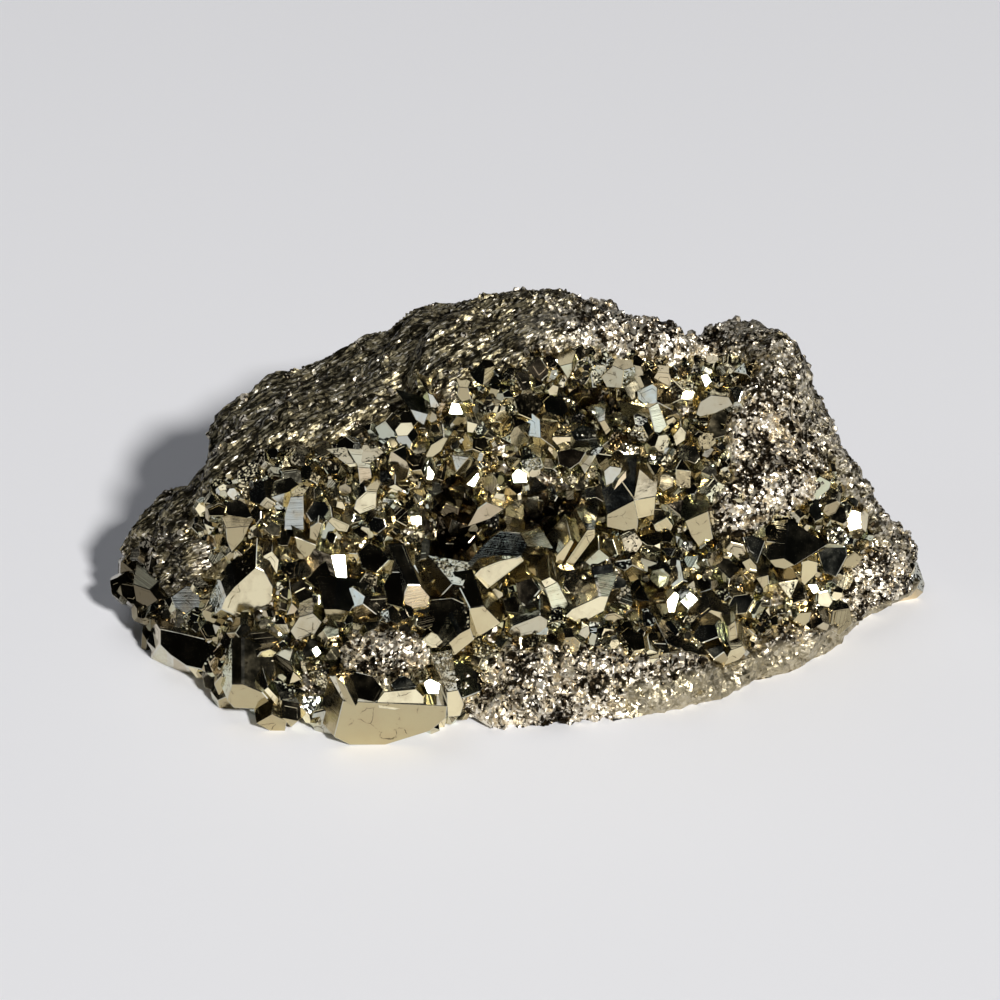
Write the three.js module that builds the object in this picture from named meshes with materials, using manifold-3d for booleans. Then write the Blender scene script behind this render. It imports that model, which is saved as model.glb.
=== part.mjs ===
// A pyrite cluster: one broken lump of massive pyrite whose front is a crust of intergrown crystals.
// Millimetres, +Z up, X to the viewer's right, Y away from the viewer, origin under the middle of the lump.
import * as THREE from "three";
import { ConvexGeometry } from "three/addons/geometries/ConvexGeometry.js";
import { mergeVertices } from "three/addons/utils/BufferGeometryUtils.js";
import Module from "manifold-3d";

// The lump's cross-sections from its left end to its right end. toe is where the front face meets the ground,
// brow where it turns into the top, crest the top's far edge, back the rear face and under the underside.
const SECTIONS = [
  { x: -53.2, toe: -3.5, brow: [0.0, 8.0], crest: [2.0, 8.5], back: 5.0, under: 4.0 },
  { x: -49.3, toe: -10.5, brow: [-2.0, 12.0], crest: [4.0, 11.5], back: 17.0, under: 1.0 },
  { x: -43.5, toe: -18.0, brow: [-6.0, 17.5], crest: [8.0, 15.0], back: 25.0, under: -3.0 },
  { x: -40.5, toe: -22.0, brow: [-7.5, 22.5], crest: [13.0, 21.0], back: 28.0, under: -3.0 },
  { x: -34.0, toe: -28.5, brow: [-8.0, 26.5], crest: [16.0, 25.0], back: 31.5, under: -3.0 },
  { x: -26.0, toe: -30.0, brow: [-7.0, 28.5], crest: [16.5, 28.8], back: 33.5, under: -3.0 },
  { x: -18.5, toe: -33.0, brow: [-7.0, 31.0], crest: [16.0, 31.5], back: 34.5, under: -3.0 },
  { x: -13.0, toe: -31.0, brow: [-6.0, 33.0], crest: [15.0, 36.5], back: 34.8, under: -3.0 },
  { x: -4.5, toe: -27.5, brow: [-3.5, 36.5], crest: [14.0, 39.5], back: 34.8, under: -3.0 },
  { x: 5.0, toe: -27.5, brow: [-0.5, 38.5], crest: [13.0, 39.0], back: 34.0, under: -3.0 },
  { x: 15.0, toe: -26.5, brow: [-0.5, 37.8], crest: [12.0, 37.0], back: 33.0, under: -3.0 },
  { x: 22.5, toe: -23.5, brow: [-0.5, 36.4], crest: [10.0, 36.0], back: 31.0, under: -3.0 },
  { x: 28.5, toe: -19.5, brow: [-1.0, 36.8], crest: [7.5, 37.8], back: 28.5, under: -3.0 },
  { x: 33.5, toe: -15.5, brow: [-1.5, 35.5], crest: [5.5, 37.0], back: 26.0, under: -3.0 },
  { x: 37.5, toe: -12.0, brow: [-2.0, 27.5], crest: [4.0, 28.5], back: 23.0, under: -3.0 },
  { x: 42.5, toe: -7.5, brow: [-1.5, 19.0], crest: [3.5, 20.0], back: 19.0, under: -3.0 },
  { x: 48.0, toe: -2.0, brow: [0.0, 10.0], crest: [4.0, 11.0], back: 14.0, under: -1.0 },
  { x: 52.5, toe: 3.5, brow: [4.5, 4.5], crest: [5.5, 5.0], back: 8.0, under: 0.5 },
];
const LIP_HEIGHT = 2.2; // the front face is widest this far above the ground
const UNDERCUT = 4.5; // how far the underside is set back from that lip
const BACK_UNDERCUT = 5.0;
const BACK_LIP_HEIGHT = 6.0;
const THIN_END = { undercut: 0.3, backLip: 0.8 }; // and the most of the lump's thickness that these take
const HOLLOW = { depth: 2.4, x: 2, halfWidth: 24 }; // the crystal face is dished in the middle
const CREST_ROUND = { along: 0.62, height: 0.72 }; // where the rear face starts to fall steeply

const LAST_ROW = 7; // a section has eight control points, numbered from 0
const COLUMNS = 34; // steps from end to end of the lump
const ROWS = 20; // steps over its top from front to back
const FACE_END = 3; // the section's control points 1 to 3 run up the front face, from lip to brow

// Crossed waves that make the lump uneven: height, wavelength and direction of each.
const WAVES = [
  { height: 0.55, length: 19, along: [0.8, 0.5, 0.33] },
  { height: 0.45, length: 12, along: [-0.4, 0.85, 0.35] },
  { height: 0.4, length: 8.3, along: [0.55, -0.3, 0.78] },
  { height: 0.3, length: 5.9, along: [0.2, 0.65, -0.73] },
];
const WAVE_SHIFT = 1.7; // each wave starts this much later than the one before it, in radians
// Cracks and ledges: a groove along a line, with its width and depth.
const GROOVES = [
  { from: [-9, 16, 38], to: [-19, -5, 30], width: 1.9, depth: 2.2 },
  { from: [-19, -5, 30], to: [-30, -9, 25.5], width: 1.8, depth: 1.8 },
  { from: [-31, -9.5, 25], to: [-44, -8, 17], width: 2.0, depth: 2.6 },
  { from: [21, 12, 36.5], to: [24, -2, 36], width: 2.4, depth: 0.8 },
  { from: [25, -3, 33], to: [20, -14, 17], width: 2.0, depth: 1.5 },
];

// Granular patches of the front face, which carry no crystals: centre and half-sizes.
const BARE_PATCHES = [
  { at: [5.5, -27, 4], half: [14.5, 7, 6.5] },
  { at: [19, -24, 2.5], half: [8, 6, 4.5] },
  { at: [34, -6, 29], half: [8.5, 9, 11] },
  { at: [28.5, -12, 21], half: [5.5, 7, 4] },
  { at: [47, -2, 5.5], half: [6.5, 9, 5] },
  { at: [34, -17, 2.5], half: [8, 6, 3.2] },
  { at: [-17.5, -26.5, 9], half: [6.6, 4, 2.6] },
  { at: [-46.5, -9, 13], half: [5, 7, 5.5] },
];
const PATCH_BORDER = [0.85, 1.1]; // crystals set in between these shares of a patch's half-sizes
const BROW_BORDER = { above: 0.25, width: 0.4 }; // they end this far above the brow, over this many rows
// The foot of the lump's right part is a rim of smooth rock: where it sets in along x, where it is whole, the
// row up to which it reaches and how softly it ends there.
const RIM = { from: 8, to: 15, row: 1.12, border: 0.12 };
const CRYSTAL_RECESS = 2.2; // the lump lies this far under the crystals' outline

// Hollows between the crystals: centre, width and depth of each.
const VUGS = [
  { at: [-9.6, -21.2, 11.8], width: 3.0, depth: 3.2 },
  { at: [-8.0, -15.0, 18.3], width: 4.2, depth: 5.0 },
  { at: [-9.6, -11.6, 24.4], width: 3.4, depth: 3.6 },
  { at: [4.2, -12.4, 19.3], width: 4.4, depth: 5.2 },
  { at: [11.5, -4.8, 32.4], width: 3.0, depth: 3.0 },
  { at: [6.6, -4.2, 33.4], width: 3.4, depth: 3.0 },
  { at: [-20.0, -9.6, 27.2], width: 3.2, depth: 3.0 },
  { at: [-40.6, -14.6, 13.8], width: 3.2, depth: 2.8 },
  { at: [-26.0, -17.4, 16.6], width: 2.8, depth: 2.4 },
  { at: [16.0, -17.6, 12.6], width: 3.4, depth: 2.6 },
  { at: [32.5, -11.6, 14.0], width: 3.4, depth: 2.6 },
];

// The view in which the main faces below are given, a picture of 1000 x 1000 pixels: its eye point (mm), how
// far down it looks from +Y (degrees), its middle, and how many pixels one unit of slope covers.
const VIEW = { eye: [-3.2, -371.8, 214.2], down: 28, middle: 500, scale: 3200 };

// Crystals that catch the eye, each by its main face: the face's corners in that view (pixels), how many
// degrees right and up it points, how far out of the crystals' outline it stands (mm), the crystal's depth
// (mm), and how many degrees its sides lean away from it, with leans for the sides that face a certain way.
const LEAD_FACES = {
  "dark face at the left end": {
    corners: [[160, 629], [180, 633], [208, 640], [217, 648], [209, 671], [186, 666], [170, 655], [160, 645]],
    points: [-25, 28], out: 0.5, depth: 4.5, leans: { down: 50, downLeft: 50 } },
  "left tip": {
    corners: [[133, 584], [150, 590], [158, 600], [147, 608], [136, 601]],
    points: [-38, 6], out: 0.2, lean: 60 },
  "patterned face": {
    corners: [[171, 597], [186, 586], [198, 587], [201, 606], [190, 617], [175, 608]],
    points: [-12, 16], out: 0.3 },
  "lower left face": {
    corners: [[227, 700], [232, 684], [243, 684], [262, 692], [273, 705], [256, 709], [234, 708]],
    points: [0, -4], out: 0.6, depth: 4.5, leans: { up: 48, upRight: 52 } },
  "beige foot": {
    corners: [[256, 723], [272, 714], [287, 721], [285, 731], [270, 733]],
    points: [0, -10], out: 0.3, lean: 84 },
  "cream plate": {
    corners: [
      [221, 609], [225, 598], [234, 587], [256, 567], [264, 571],
      [273, 587], [272, 600], [260, 616], [240, 618],
    ],
    points: [0, 3], out: 0.9, depth: 4.5, lean: 70, leans: { down: 38, left: 72 } },
  "tall ribbed face": {
    corners: [[291, 497], [303, 496], [304, 530], [284, 530], [285, 515]],
    points: [-6, 8], out: 0.5, depth: 4.5 },
  "cream gem": {
    corners: [[357, 499], [366, 491], [377, 492], [376, 508], [360, 514], [354, 509]],
    points: [4, 4], out: 0.6 },
  "striped face": {
    corners: [[408, 585], [420, 585], [430, 597], [427, 607], [403, 610], [404, 595]],
    points: [12, 4], out: 0.6, depth: 4.5, leans: { left: 56, up: 50 } },
  "rough grey": {
    corners: [[290, 631], [299, 617], [313, 613], [322, 622], [314, 636], [296, 640]],
    points: [4, 8], out: 0.4 },
  "block underside": {
    corners: [[343, 701], [447, 706], [446, 718], [430, 731], [385, 745], [350, 745], [334, 737]],
    points: [3, -5], out: 0.5, depth: 4.5, lean: 72, leans: { left: 68, up: 84 } },
  "block ledge": {
    corners: [[377, 701], [384, 692], [416, 689], [424, 697], [424, 705], [395, 710], [379, 708]],
    points: [6, 8], out: 3.9, depth: 5, lean: 80, leans: { up: 88 } },
  "black pentagon": {
    corners: [[347, 677], [356, 672], [372, 676], [383, 690], [375, 704], [360, 706], [352, 693]],
    points: [-6, 34], out: 3.7, depth: 5.5, lean: 86 },
  "right of block": {
    corners: [[447, 706], [447, 692], [458, 690], [464, 704], [460, 716], [448, 717]],
    lean: 84, points: [10, 0], out: 5.1 },
  "kite": {
    corners: [[464, 625], [470, 608], [484, 606], [501, 623], [482, 635], [468, 641]],
    points: [8, 3], out: 0.7, depth: 4.5, leans: { left: 60, upLeft: 55 } },
  "bar": {
    corners: [[440, 650], [460, 633], [470, 628], [474, 640], [453, 657], [441, 658]],
    points: [8, 3], out: 0.7, depth: 4.5, leans: { upLeft: 60 } },
  "long cream": {
    corners: [[464, 585], [481, 568], [499, 561], [521, 556], [524, 561], [476, 598], [470, 593]],
    points: [2, 2], out: 1.5, depth: 4.5 },
  "teal plate": {
    corners: [[455, 580], [470, 560], [483, 545], [500, 531], [520, 533], [527, 545], [521, 556], [464, 585]],
    points: [-26, 33], out: 1.7, depth: 5 },
  "gold wing": {
    corners: [[467, 527], [477, 509], [487, 502], [504, 509], [490, 519]],
    points: [-6, 6], out: 0.4 },
  "leaning bar": {
    corners: [[563, 566], [587, 530], [595, 529], [595, 537], [570, 570]],
    points: [8, 4], out: 0.8, depth: 4.5 },
  "ribbed wedge": {
    corners: [[545, 588], [557, 582], [571, 608], [563, 618], [551, 607]],
    points: [14, 6], out: 0.6, depth: 4.5 },
  "long pale": {
    corners: [[565, 616], [572, 609], [600, 596], [609, 596], [604, 611], [580, 624], [574, 623]],
    points: [4, 2], out: 0.5, depth: 4.5 },
  "pale slab": {
    corners: [[508, 632], [512, 626], [540, 615], [548, 620], [546, 631], [514, 638]],
    points: [2, 2], out: 0.4 },
  "brown face": {
    corners: [[516, 583], [532, 578], [540, 590], [526, 607], [518, 600]],
    points: [4, 22], out: 0.5, depth: 4.5, leans: { down: 45, downRight: 48 } },
  "right kite, left half": {
    corners: [[607, 514], [634, 500], [638, 519], [637, 534], [607, 527]],
    points: [-2, 4], out: 0.8, depth: 4.5, leans: { up: 50 } },
  "right kite, right half": {
    corners: [[634, 500], [656, 496], [654, 515], [638, 519]],
    points: [10, 5], out: 1.5, depth: 4.5, leans: { up: 60 } },
  "rounded crystal": {
    corners: [[696, 414], [700, 402], [711, 395], [729, 397], [733, 405], [716, 413], [700, 417]],
    points: [-4, 8], out: 0.6, depth: 4.5 },
  "wide brown face": {
    corners: [[685, 521], [708, 511], [711, 527], [713, 539], [699, 547], [691, 536]],
    points: [2, 4], out: 0.7, depth: 4.5 },
  "greenish face": {
    corners: [[804, 490], [820, 476], [831, 482], [829, 489], [815, 502]],
    points: [0, 8], out: 0.5 },
  "grey plate": {
    corners: [[818, 552], [838, 541], [846, 546], [847, 556], [836, 577], [824, 573]],
    points: [4, 22], out: 0.5, depth: 4.5 },
  "black face by the cap": {
    corners: [[306, 580], [313, 572], [330, 556], [333, 580], [330, 588], [316, 588]],
    points: [-12, 30], out: 0.4 },
  "black face by the stripes": {
    corners: [[383, 585], [392, 572], [403, 572], [406, 584], [402, 608], [388, 604]],
    points: [-14, 32], out: 0.3 },
  "black face by the kite": {
    corners: [[430, 600], [452, 598], [469, 606], [464, 626], [446, 644], [428, 628]],
    points: [-10, 38], out: 0.2 },
  "dark brown ribs": {
    corners: [[358, 553], [368, 543], [380, 548], [389, 560], [376, 573], [362, 568]],
    points: [-8, 26], out: 0.4 },
  "blue-grey face": {
    corners: [[518, 421], [530, 412], [540, 420], [541, 438], [528, 436]],
    points: [-35, 35], out: 0.3 },
};
const COMMON_DEPTH = 4;
const COMMON_LEAN = 74;
const ROOT = 3.2; // every crystal reaches at least this far below the outline
const FACINGS = {
  right: 0, upRight: 45, up: 90, upLeft: 135, left: 180, downLeft: 225, down: 270, downRight: 315,
};
const FACING_SPREAD = 50; // a side within this angle of a facing takes that facing's lean
// The rows in which a line of sight is searched for the outline, and how often x is refined there.
const SIGHT = { from: 0.5, to: 3.7, step: 0.02, rounds: 8 };

// The rest are strewn: how many places are tried, their sizes from smallest to largest, and how close they
// may sit (1 lets two crystals just touch).
const STREWN = [
  { tries: 900, size: [6.2, 8.2], spacing: 0.72, seed: 13 },
  { tries: 1900, size: [4.6, 6.0], spacing: 0.7, seed: 12 },
];

// Distances of a crystal's three kinds of faces from its middle, as shares of its size: the cube's, the eight
// corners' and the twelve five-sided ones that pyrite is known for. A distance of 2 leaves a kind out.
const HABITS = {
  block: { cube: 0.46, corner: 0.56, pentagon: 2 },
  star: { cube: 0.54, corner: 0.44, pentagon: 2 },
  pentagon: { cube: 2, corner: 2, pentagon: 0.48 },
};
const UNEVEN = 0.18; // each face may lie this much nearer or farther
// The strewn crystals' range along x, up the front face, and out of the outline to their tops.
const STREWN_OVER = { x: [-52, 51], up: [-0.22, 1.04], out: [-1.6, 0.9] };
const FULL_COVER = 0.6; // they sit where at least this share of the surface is crystals
const SMALLEST_FACE_STEP = 0.06; // corners closer than this are one corner, as a share of the crystal's size
const STREWN_CLEARANCE = 0.5; // how near they come to a main face, as a share of their own size
const BEHIND_FACE = 0.45; // and how far behind its plane they are out of its way, as such a share too

const PYRITE = { colour: 0xb9a878, roughness: 0.28, metalness: 1.0 };

// A repeatable number from 0 to 1 for each pair of whole numbers.
function chance(index, kind) {
  const wave = Math.sin(index * 12.9898 + kind * 78.233 + 4.1) * 43758.5453;
  return wave - Math.floor(wave);
}

function mix(a, b, share) {
  return a + (b - a) * share;
}

// Smooth curve through evenly numbered values, read at a fractional place.
function through(values, place) {
  const last = values.length - 1;
  const i = Math.min(last - 1, Math.max(0, Math.floor(place)));
  const t = place - i;
  const at = (k) => values[Math.min(last, Math.max(0, k))];
  const [a, b, c, d] = [at(i - 1), at(i), at(i + 1), at(i + 2)];
  return b + 0.5 * t * (c - a + t * (2 * a - 5 * b + 4 * c - d + t * (3 * (b - c) + d - a)));
}

// The section's control points as [y, z], from the underside's front edge over the top to its rear edge.
function controlPoints(place) {
  const read = (pick) => through(SECTIONS.map(pick), place);
  const x = read((s) => s.x);
  const toe = read((s) => s.toe);
  const brow = [read((s) => s.brow[0]), read((s) => s.brow[1])];
  const crest = [read((s) => s.crest[0]), read((s) => s.crest[1])];
  const back = read((s) => s.back);
  const under = read((s) => s.under);
  const ground = Math.max(under, 0);
  const lip = [toe - LIP_HEIGHT / 2, ground + LIP_HEIGHT];
  const dish = HOLLOW.depth * Math.exp(-(((x - HOLLOW.x) / HOLLOW.halfWidth) ** 2));
  const middle = [mix(lip[0], brow[0], 0.5) + dish, mix(lip[1], brow[1], 0.5) - dish / 2];
  const shoulder = [mix(crest[0], back, CREST_ROUND.along), mix(ground, crest[1], CREST_ROUND.height)];
  const rear = [back, Math.min(ground + BACK_LIP_HEIGHT, shoulder[1] * THIN_END.backLip)];
  return {
    x,
    points: [
      [lip[0] + Math.min(UNDERCUT, (back - toe) * THIN_END.undercut), under],
      lip,
      middle,
      brow,
      crest,
      shoulder,
      rear,
      [rear[0] - Math.min(BACK_UNDERCUT, (back - toe) * THIN_END.undercut), under],
    ],
  };
}

// A point of the lump's outline. place counts sections from the left end, row counts control points from the
// front.
function outlinePoint(place, row) {
  const { x, points } = controlPoints(place);
  const y = through(points.map((p) => p[0]), row);
  const z = through(points.map((p) => p[1]), row);
  return new THREE.Vector3(x, y, z);
}

// The direction that faces out of the lump there.
function outward(place, row) {
  const step = 0.04;
  const lastPlace = SECTIONS.length - 1;
  const low = outlinePoint(Math.max(0, place - step), row);
  const high = outlinePoint(Math.min(lastPlace, place + step), row);
  const near = outlinePoint(place, Math.max(0, row - step));
  const far = outlinePoint(place, Math.min(LAST_ROW, row + step));
  return high.sub(low).cross(far.sub(near)).normalize();
}

// How much a point is inside a box-like ellipsoid: below 1 is inside.
function within(point, patch) {
  return Math.hypot(
    (point.x - patch.at[0]) / patch.half[0],
    (point.y - patch.at[1]) / patch.half[1],
    (point.z - patch.at[2]) / patch.half[2],
  );
}

// 1 where crystals grow, 0 on the granular and slaty rest, with a soft border.
function crystalCover(point, row) {
  const belowBrow = THREE.MathUtils.smoothstep(FACE_END + BROW_BORDER.above - row, 0, BROW_BORDER.width);
  const bare = Math.min(...BARE_PATCHES.map((patch) => within(point, patch)));
  const rim = THREE.MathUtils.smoothstep(point.x, RIM.from, RIM.to)
    * THREE.MathUtils.smoothstep(RIM.row + RIM.border - row, 0, RIM.border);
  return belowBrow * THREE.MathUtils.smoothstep(bare, ...PATCH_BORDER) * (1 - rim);
}

function waviness(point) {
  return WAVES.reduce((sum, { height, length, along }, k) => {
    const along1 = new THREE.Vector3(...along).normalize().dot(point);
    return sum + height * Math.sin((2 * Math.PI * along1) / length + WAVE_SHIFT * k);
  }, 0);
}

function grooveDepth(point) {
  return GROOVES.reduce((sum, { from, to, width, depth }) => {
    const line = new THREE.Line3(new THREE.Vector3(...from), new THREE.Vector3(...to));
    const nearest = line.closestPointToPoint(point, true, new THREE.Vector3());
    return sum + depth * Math.exp(-((nearest.distanceTo(point) / width) ** 2));
  }, 0);
}

function vugDepth(point) {
  return VUGS.reduce((sum, { at, width, depth }) => {
    const distance = point.distanceTo(new THREE.Vector3(...at));
    return sum + depth * Math.exp(-((distance / width) ** 2));
  }, 0);
}

// The lump's own surface, under the crystals.
function lumpPoint(place, row) {
  const point = outlinePoint(place, row);
  const sunk = grooveDepth(point) + vugDepth(point) + CRYSTAL_RECESS * crystalCover(point, row);
  const height = waviness(point) - sunk;
  return point.addScaledVector(outward(place, row), height);
}

// A closed mesh of the lump: rings of points round each section, and a fan at each end.
function lumpGeometry() {
  const positions = [];
  const indices = [];
  const ring = ROWS + 1;
  for (let i = 0; i <= COLUMNS; i++) {
    const place = ((SECTIONS.length - 1) * i) / COLUMNS;
    for (let j = 0; j <= ROWS; j++) {
      positions.push(...lumpPoint(place, (LAST_ROW * j) / ROWS).toArray());
    }
  }
  const corner = (i, j) => i * ring + (j % ring);
  for (let i = 0; i < COLUMNS; i++) {
    for (let j = 0; j < ring; j++) {
      indices.push(corner(i, j), corner(i + 1, j), corner(i + 1, j + 1));
      indices.push(corner(i, j), corner(i + 1, j + 1), corner(i, j + 1));
    }
  }
  for (const [column, turned] of [[0, false], [COLUMNS, true]]) {
    const middle = new THREE.Vector3();
    for (let j = 0; j < ring; j++) {
      middle.add(new THREE.Vector3().fromArray(positions, corner(column, j) * 3));
    }
    const hub = positions.length / 3;
    positions.push(...middle.divideScalar(ring).toArray());
    for (let j = 0; j < ring; j++) {
      const pair = [corner(column, j), corner(column, j + 1)];
      indices.push(hub, ...(turned ? pair.reverse() : pair));
    }
  }
  const geometry = new THREE.BufferGeometry();
  geometry.setAttribute("position", new THREE.Float32BufferAttribute(positions, 3));
  geometry.setIndex(indices);
  return geometry;
}

// The directions of the three kinds of crystal faces.
const ENDS = [-1, 1];
const CUBE_FACES = ENDS.flatMap((s) => [[s, 0, 0], [0, s, 0], [0, 0, s]]);
const CORNER_FACES = ENDS.flatMap((a) => ENDS.flatMap((b) => ENDS.map((c) => [a, b, c])));
const PENTAGON_FACES = ENDS.flatMap((a) =>
  ENDS.flatMap((b) => [[a, 2 * b, 0], [0, a, 2 * b], [2 * b, 0, a]]),
);

const NEARLY_PARALLEL = 0.05; // planes closer to parallel than this make no corner
const ON_PLANE = 1e-6; // a corner this little outside a plane is still on it

// The faces of one crystal of size 1 as planes: a direction and a distance each.
function crystalFaces(habit, number) {
  const kinds = [
    [CUBE_FACES, habit.cube],
    [CORNER_FACES, habit.corner],
    [PENTAGON_FACES, habit.pentagon],
  ];
  return kinds.flatMap(([faces, distance], kind) =>
    faces.map((face, k) => ({
      normal: new THREE.Vector3(...face).normalize(),
      distance: distance * (1 + UNEVEN * (2 * chance(number, 20 + 30 * kind + k) - 1)),
    })),
  );
}

// The corners of the solid that the planes enclose: each point where three meet and no other cuts it off.
function cornersOf(planes, smallestStep) {
  const corners = [];
  for (let a = 0; a < planes.length; a++) {
    for (let b = a + 1; b < planes.length; b++) {
      const edge = new THREE.Vector3().crossVectors(planes[a].normal, planes[b].normal);
      for (let c = b + 1; c < planes.length; c++) {
        const volume = edge.dot(planes[c].normal);
        if (Math.abs(volume) < NEARLY_PARALLEL) continue;
        const corner = edge.clone().multiplyScalar(planes[c].distance);
        corner.addScaledVector(
          new THREE.Vector3().crossVectors(planes[b].normal, planes[c].normal),
          planes[a].distance,
        );
        corner.addScaledVector(
          new THREE.Vector3().crossVectors(planes[c].normal, planes[a].normal),
          planes[b].distance,
        );
        corner.divideScalar(volume);
        const inside = planes.every((p) => p.normal.dot(corner) < p.distance + ON_PLANE);
        if (inside && corners.every((q) => q.distanceTo(corner) > smallestStep)) {
          corners.push(corner);
        }
      }
    }
  }
  return corners;
}

function directionOf(right, up) {
  const [r, u] = [THREE.MathUtils.degToRad(right), THREE.MathUtils.degToRad(up)];
  return new THREE.Vector3(Math.sin(r) * Math.cos(u), -Math.cos(r) * Math.cos(u), Math.sin(u));
}

function crystalGeometry({ planes, size, turn, centre, step }) {
  const corners = cornersOf(planes, step);
  return new ConvexGeometry(corners.map((c) => c.multiplyScalar(size).applyQuaternion(turn).add(centre)));
}

const HALVINGS = 30;

// The place among the sections where the lump reaches x.
function placeOf(x) {
  let [low, high] = [0, SECTIONS.length - 1];
  for (let step = 0; step < HALVINGS; step++) {
    const middle = (low + high) / 2;
    if (through(SECTIONS.map((s) => s.x), middle) < x) low = middle;
    else high = middle;
  }
  return (low + high) / 2;
}

function faceRow(up) {
  return 1 + (FACE_END - 1) * up;
}

// A point of the crystals' outline, the direction out of it, and how fully crystals cover it.
function seat(x, up) {
  const place = placeOf(x);
  const row = faceRow(up);
  const surface = outlinePoint(place, row);
  return { surface, away: outward(place, row), cover: crystalCover(surface, row) };
}

// The view's directions: ahead, and up in the picture. Its direction to the right is +X.
const lookingDown = THREE.MathUtils.degToRad(VIEW.down);
const eye = new THREE.Vector3(...VIEW.eye);
const ahead = new THREE.Vector3(0, Math.cos(lookingDown), -Math.sin(lookingDown));
const upwards = new THREE.Vector3(0, Math.sin(lookingDown), Math.cos(lookingDown));

// Where the view shows a point, and how far ahead of the eye it is.
function pictureOf(point) {
  const offset = point.clone().sub(eye);
  const distance = offset.dot(ahead);
  const pixels = VIEW.scale / distance;
  const across = VIEW.middle + offset.x * pixels;
  return { across, down: VIEW.middle - offset.dot(upwards) * pixels, distance };
}

function sightLine([across, down]) {
  const line = ahead.clone().addScaledVector(upwards, (VIEW.middle - down) / VIEW.scale);
  return line.setX((across - VIEW.middle) / VIEW.scale);
}

// Where a line of sight first meets the crystals' outline, from the ground up.
function seatBehind([across, down]) {
  let x = 0;
  let row = 0;
  for (let round = 0; round < SIGHT.rounds; round++) {
    const place = placeOf(x);
    let below = pictureOf(outlinePoint(place, SIGHT.from));
    for (row = SIGHT.from + SIGHT.step; row < SIGHT.to; row += SIGHT.step) {
      const above = pictureOf(outlinePoint(place, row));
      if (above.down <= down) {
        const share = (below.down - down) / (below.down - above.down);
        row += (share - 1) * SIGHT.step;
        x += ((across - mix(below.across, above.across, share)) * above.distance) / VIEW.scale;
        break;
      }
      below = above;
    }
  }
  const place = placeOf(x);
  return { surface: outlinePoint(place, row), away: outward(place, row) };
}

// A side's lean: the one given for the way that it faces, or else the common one.
function leanOf(outwards, lean, leans) {
  const angle = THREE.MathUtils.radToDeg(Math.atan2(outwards.y, outwards.x));
  const gaps = Object.keys(leans).map((facing) => {
    const turn = THREE.MathUtils.euclideanModulo(angle - FACINGS[facing] + 180, 360) - 180;
    return { facing, gap: Math.abs(turn) };
  });
  const [nearest] = gaps.sort((a, b) => a.gap - b.gap);
  return THREE.MathUtils.degToRad(nearest && nearest.gap < FACING_SPREAD ? leans[nearest.facing] : lean);
}

// A face's corners in its own plane, anticlockwise: each line of sight goes on until it meets the plane.
function ringOf(corners, front, main, turn) {
  const ring = corners.map((corner) => {
    const line = sightLine(corner);
    const reach = front.clone().sub(eye).dot(main) / line.dot(main);
    return eye.clone().addScaledVector(line, reach).sub(front).applyQuaternion(turn.clone().invert()).setZ(0);
  });
  const area = ring.reduce((sum, a, k) => {
    const b = ring[(k + 1) % ring.length];
    return sum + a.x * b.y - a.y * b.x;
  }, 0);
  return area < 0 ? ring.reverse() : ring;
}

// A crystal by its main face. Its own axes point right, up and out of that face.
function faceCrystal({ corners, points, out, depth = COMMON_DEPTH, lean = COMMON_LEAN, leans = {} }) {
  const middle = [0, 1].map((axis) => corners.reduce((sum, at) => sum + at[axis], 0) / corners.length);
  const { surface, away } = seatBehind(middle);
  const front = surface.addScaledVector(away, out);
  const main = directionOf(...points);
  const right = new THREE.Vector3(-main.y, main.x, 0).normalize();
  const basis = new THREE.Matrix4().makeBasis(right, main.clone().cross(right), main);
  const turn = new THREE.Quaternion().setFromRotationMatrix(basis);
  const ring = ringOf(corners, front, main, turn);
  const edges = ring.map((at, k) => {
    const along = ring[(k + 1) % ring.length].clone().sub(at).normalize();
    return { at, outwards: new THREE.Vector3(along.y, -along.x, 0) };
  });
  const sides = edges.map(({ at, outwards }) => {
    const angle = leanOf(outwards, lean, leans);
    const normal = outwards.clone().multiplyScalar(Math.sin(angle)).setZ(Math.cos(angle));
    return { normal, distance: normal.dot(at) };
  });
  const span = new THREE.Box3().setFromPoints(ring).getSize(new THREE.Vector3());
  const room = Math.sqrt(span.x * span.y);
  return {
    planes: [
      { normal: new THREE.Vector3(0, 0, 1), distance: 0 },
      ...sides,
      { normal: new THREE.Vector3(0, 0, -1), distance: Math.max(depth, out + ROOT) },
    ],
    edges,
    centre: front,
    middle: front.clone().addScaledVector(main, -room / 2),
    room,
    size: 1,
    step: SMALLEST_FACE_STEP * room,
    turn,
  };
}

// True where a crystal at the centre would stand in front of the other one's main face.
function overFace(other, centre, size) {
  const local = centre.clone().sub(other.centre).applyQuaternion(other.turn.clone().invert());
  const beyond = other.edges.map(({ at, outwards }) => local.clone().sub(at).dot(outwards));
  return Math.max(...beyond) < STREWN_CLEARANCE * size && local.z > -BEHIND_FACE * size;
}

// Random turns that favour no direction.
function anyTurn(number) {
  const [a, b, c] = [1, 2, 3].map((k) => chance(number, 10 + k));
  const [r, s] = [Math.sqrt(1 - a), Math.sqrt(a)];
  const [p, q] = [2 * Math.PI * b, 2 * Math.PI * c];
  return new THREE.Quaternion(r * Math.sin(p), r * Math.cos(p), s * Math.sin(q), s * Math.cos(q));
}

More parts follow.
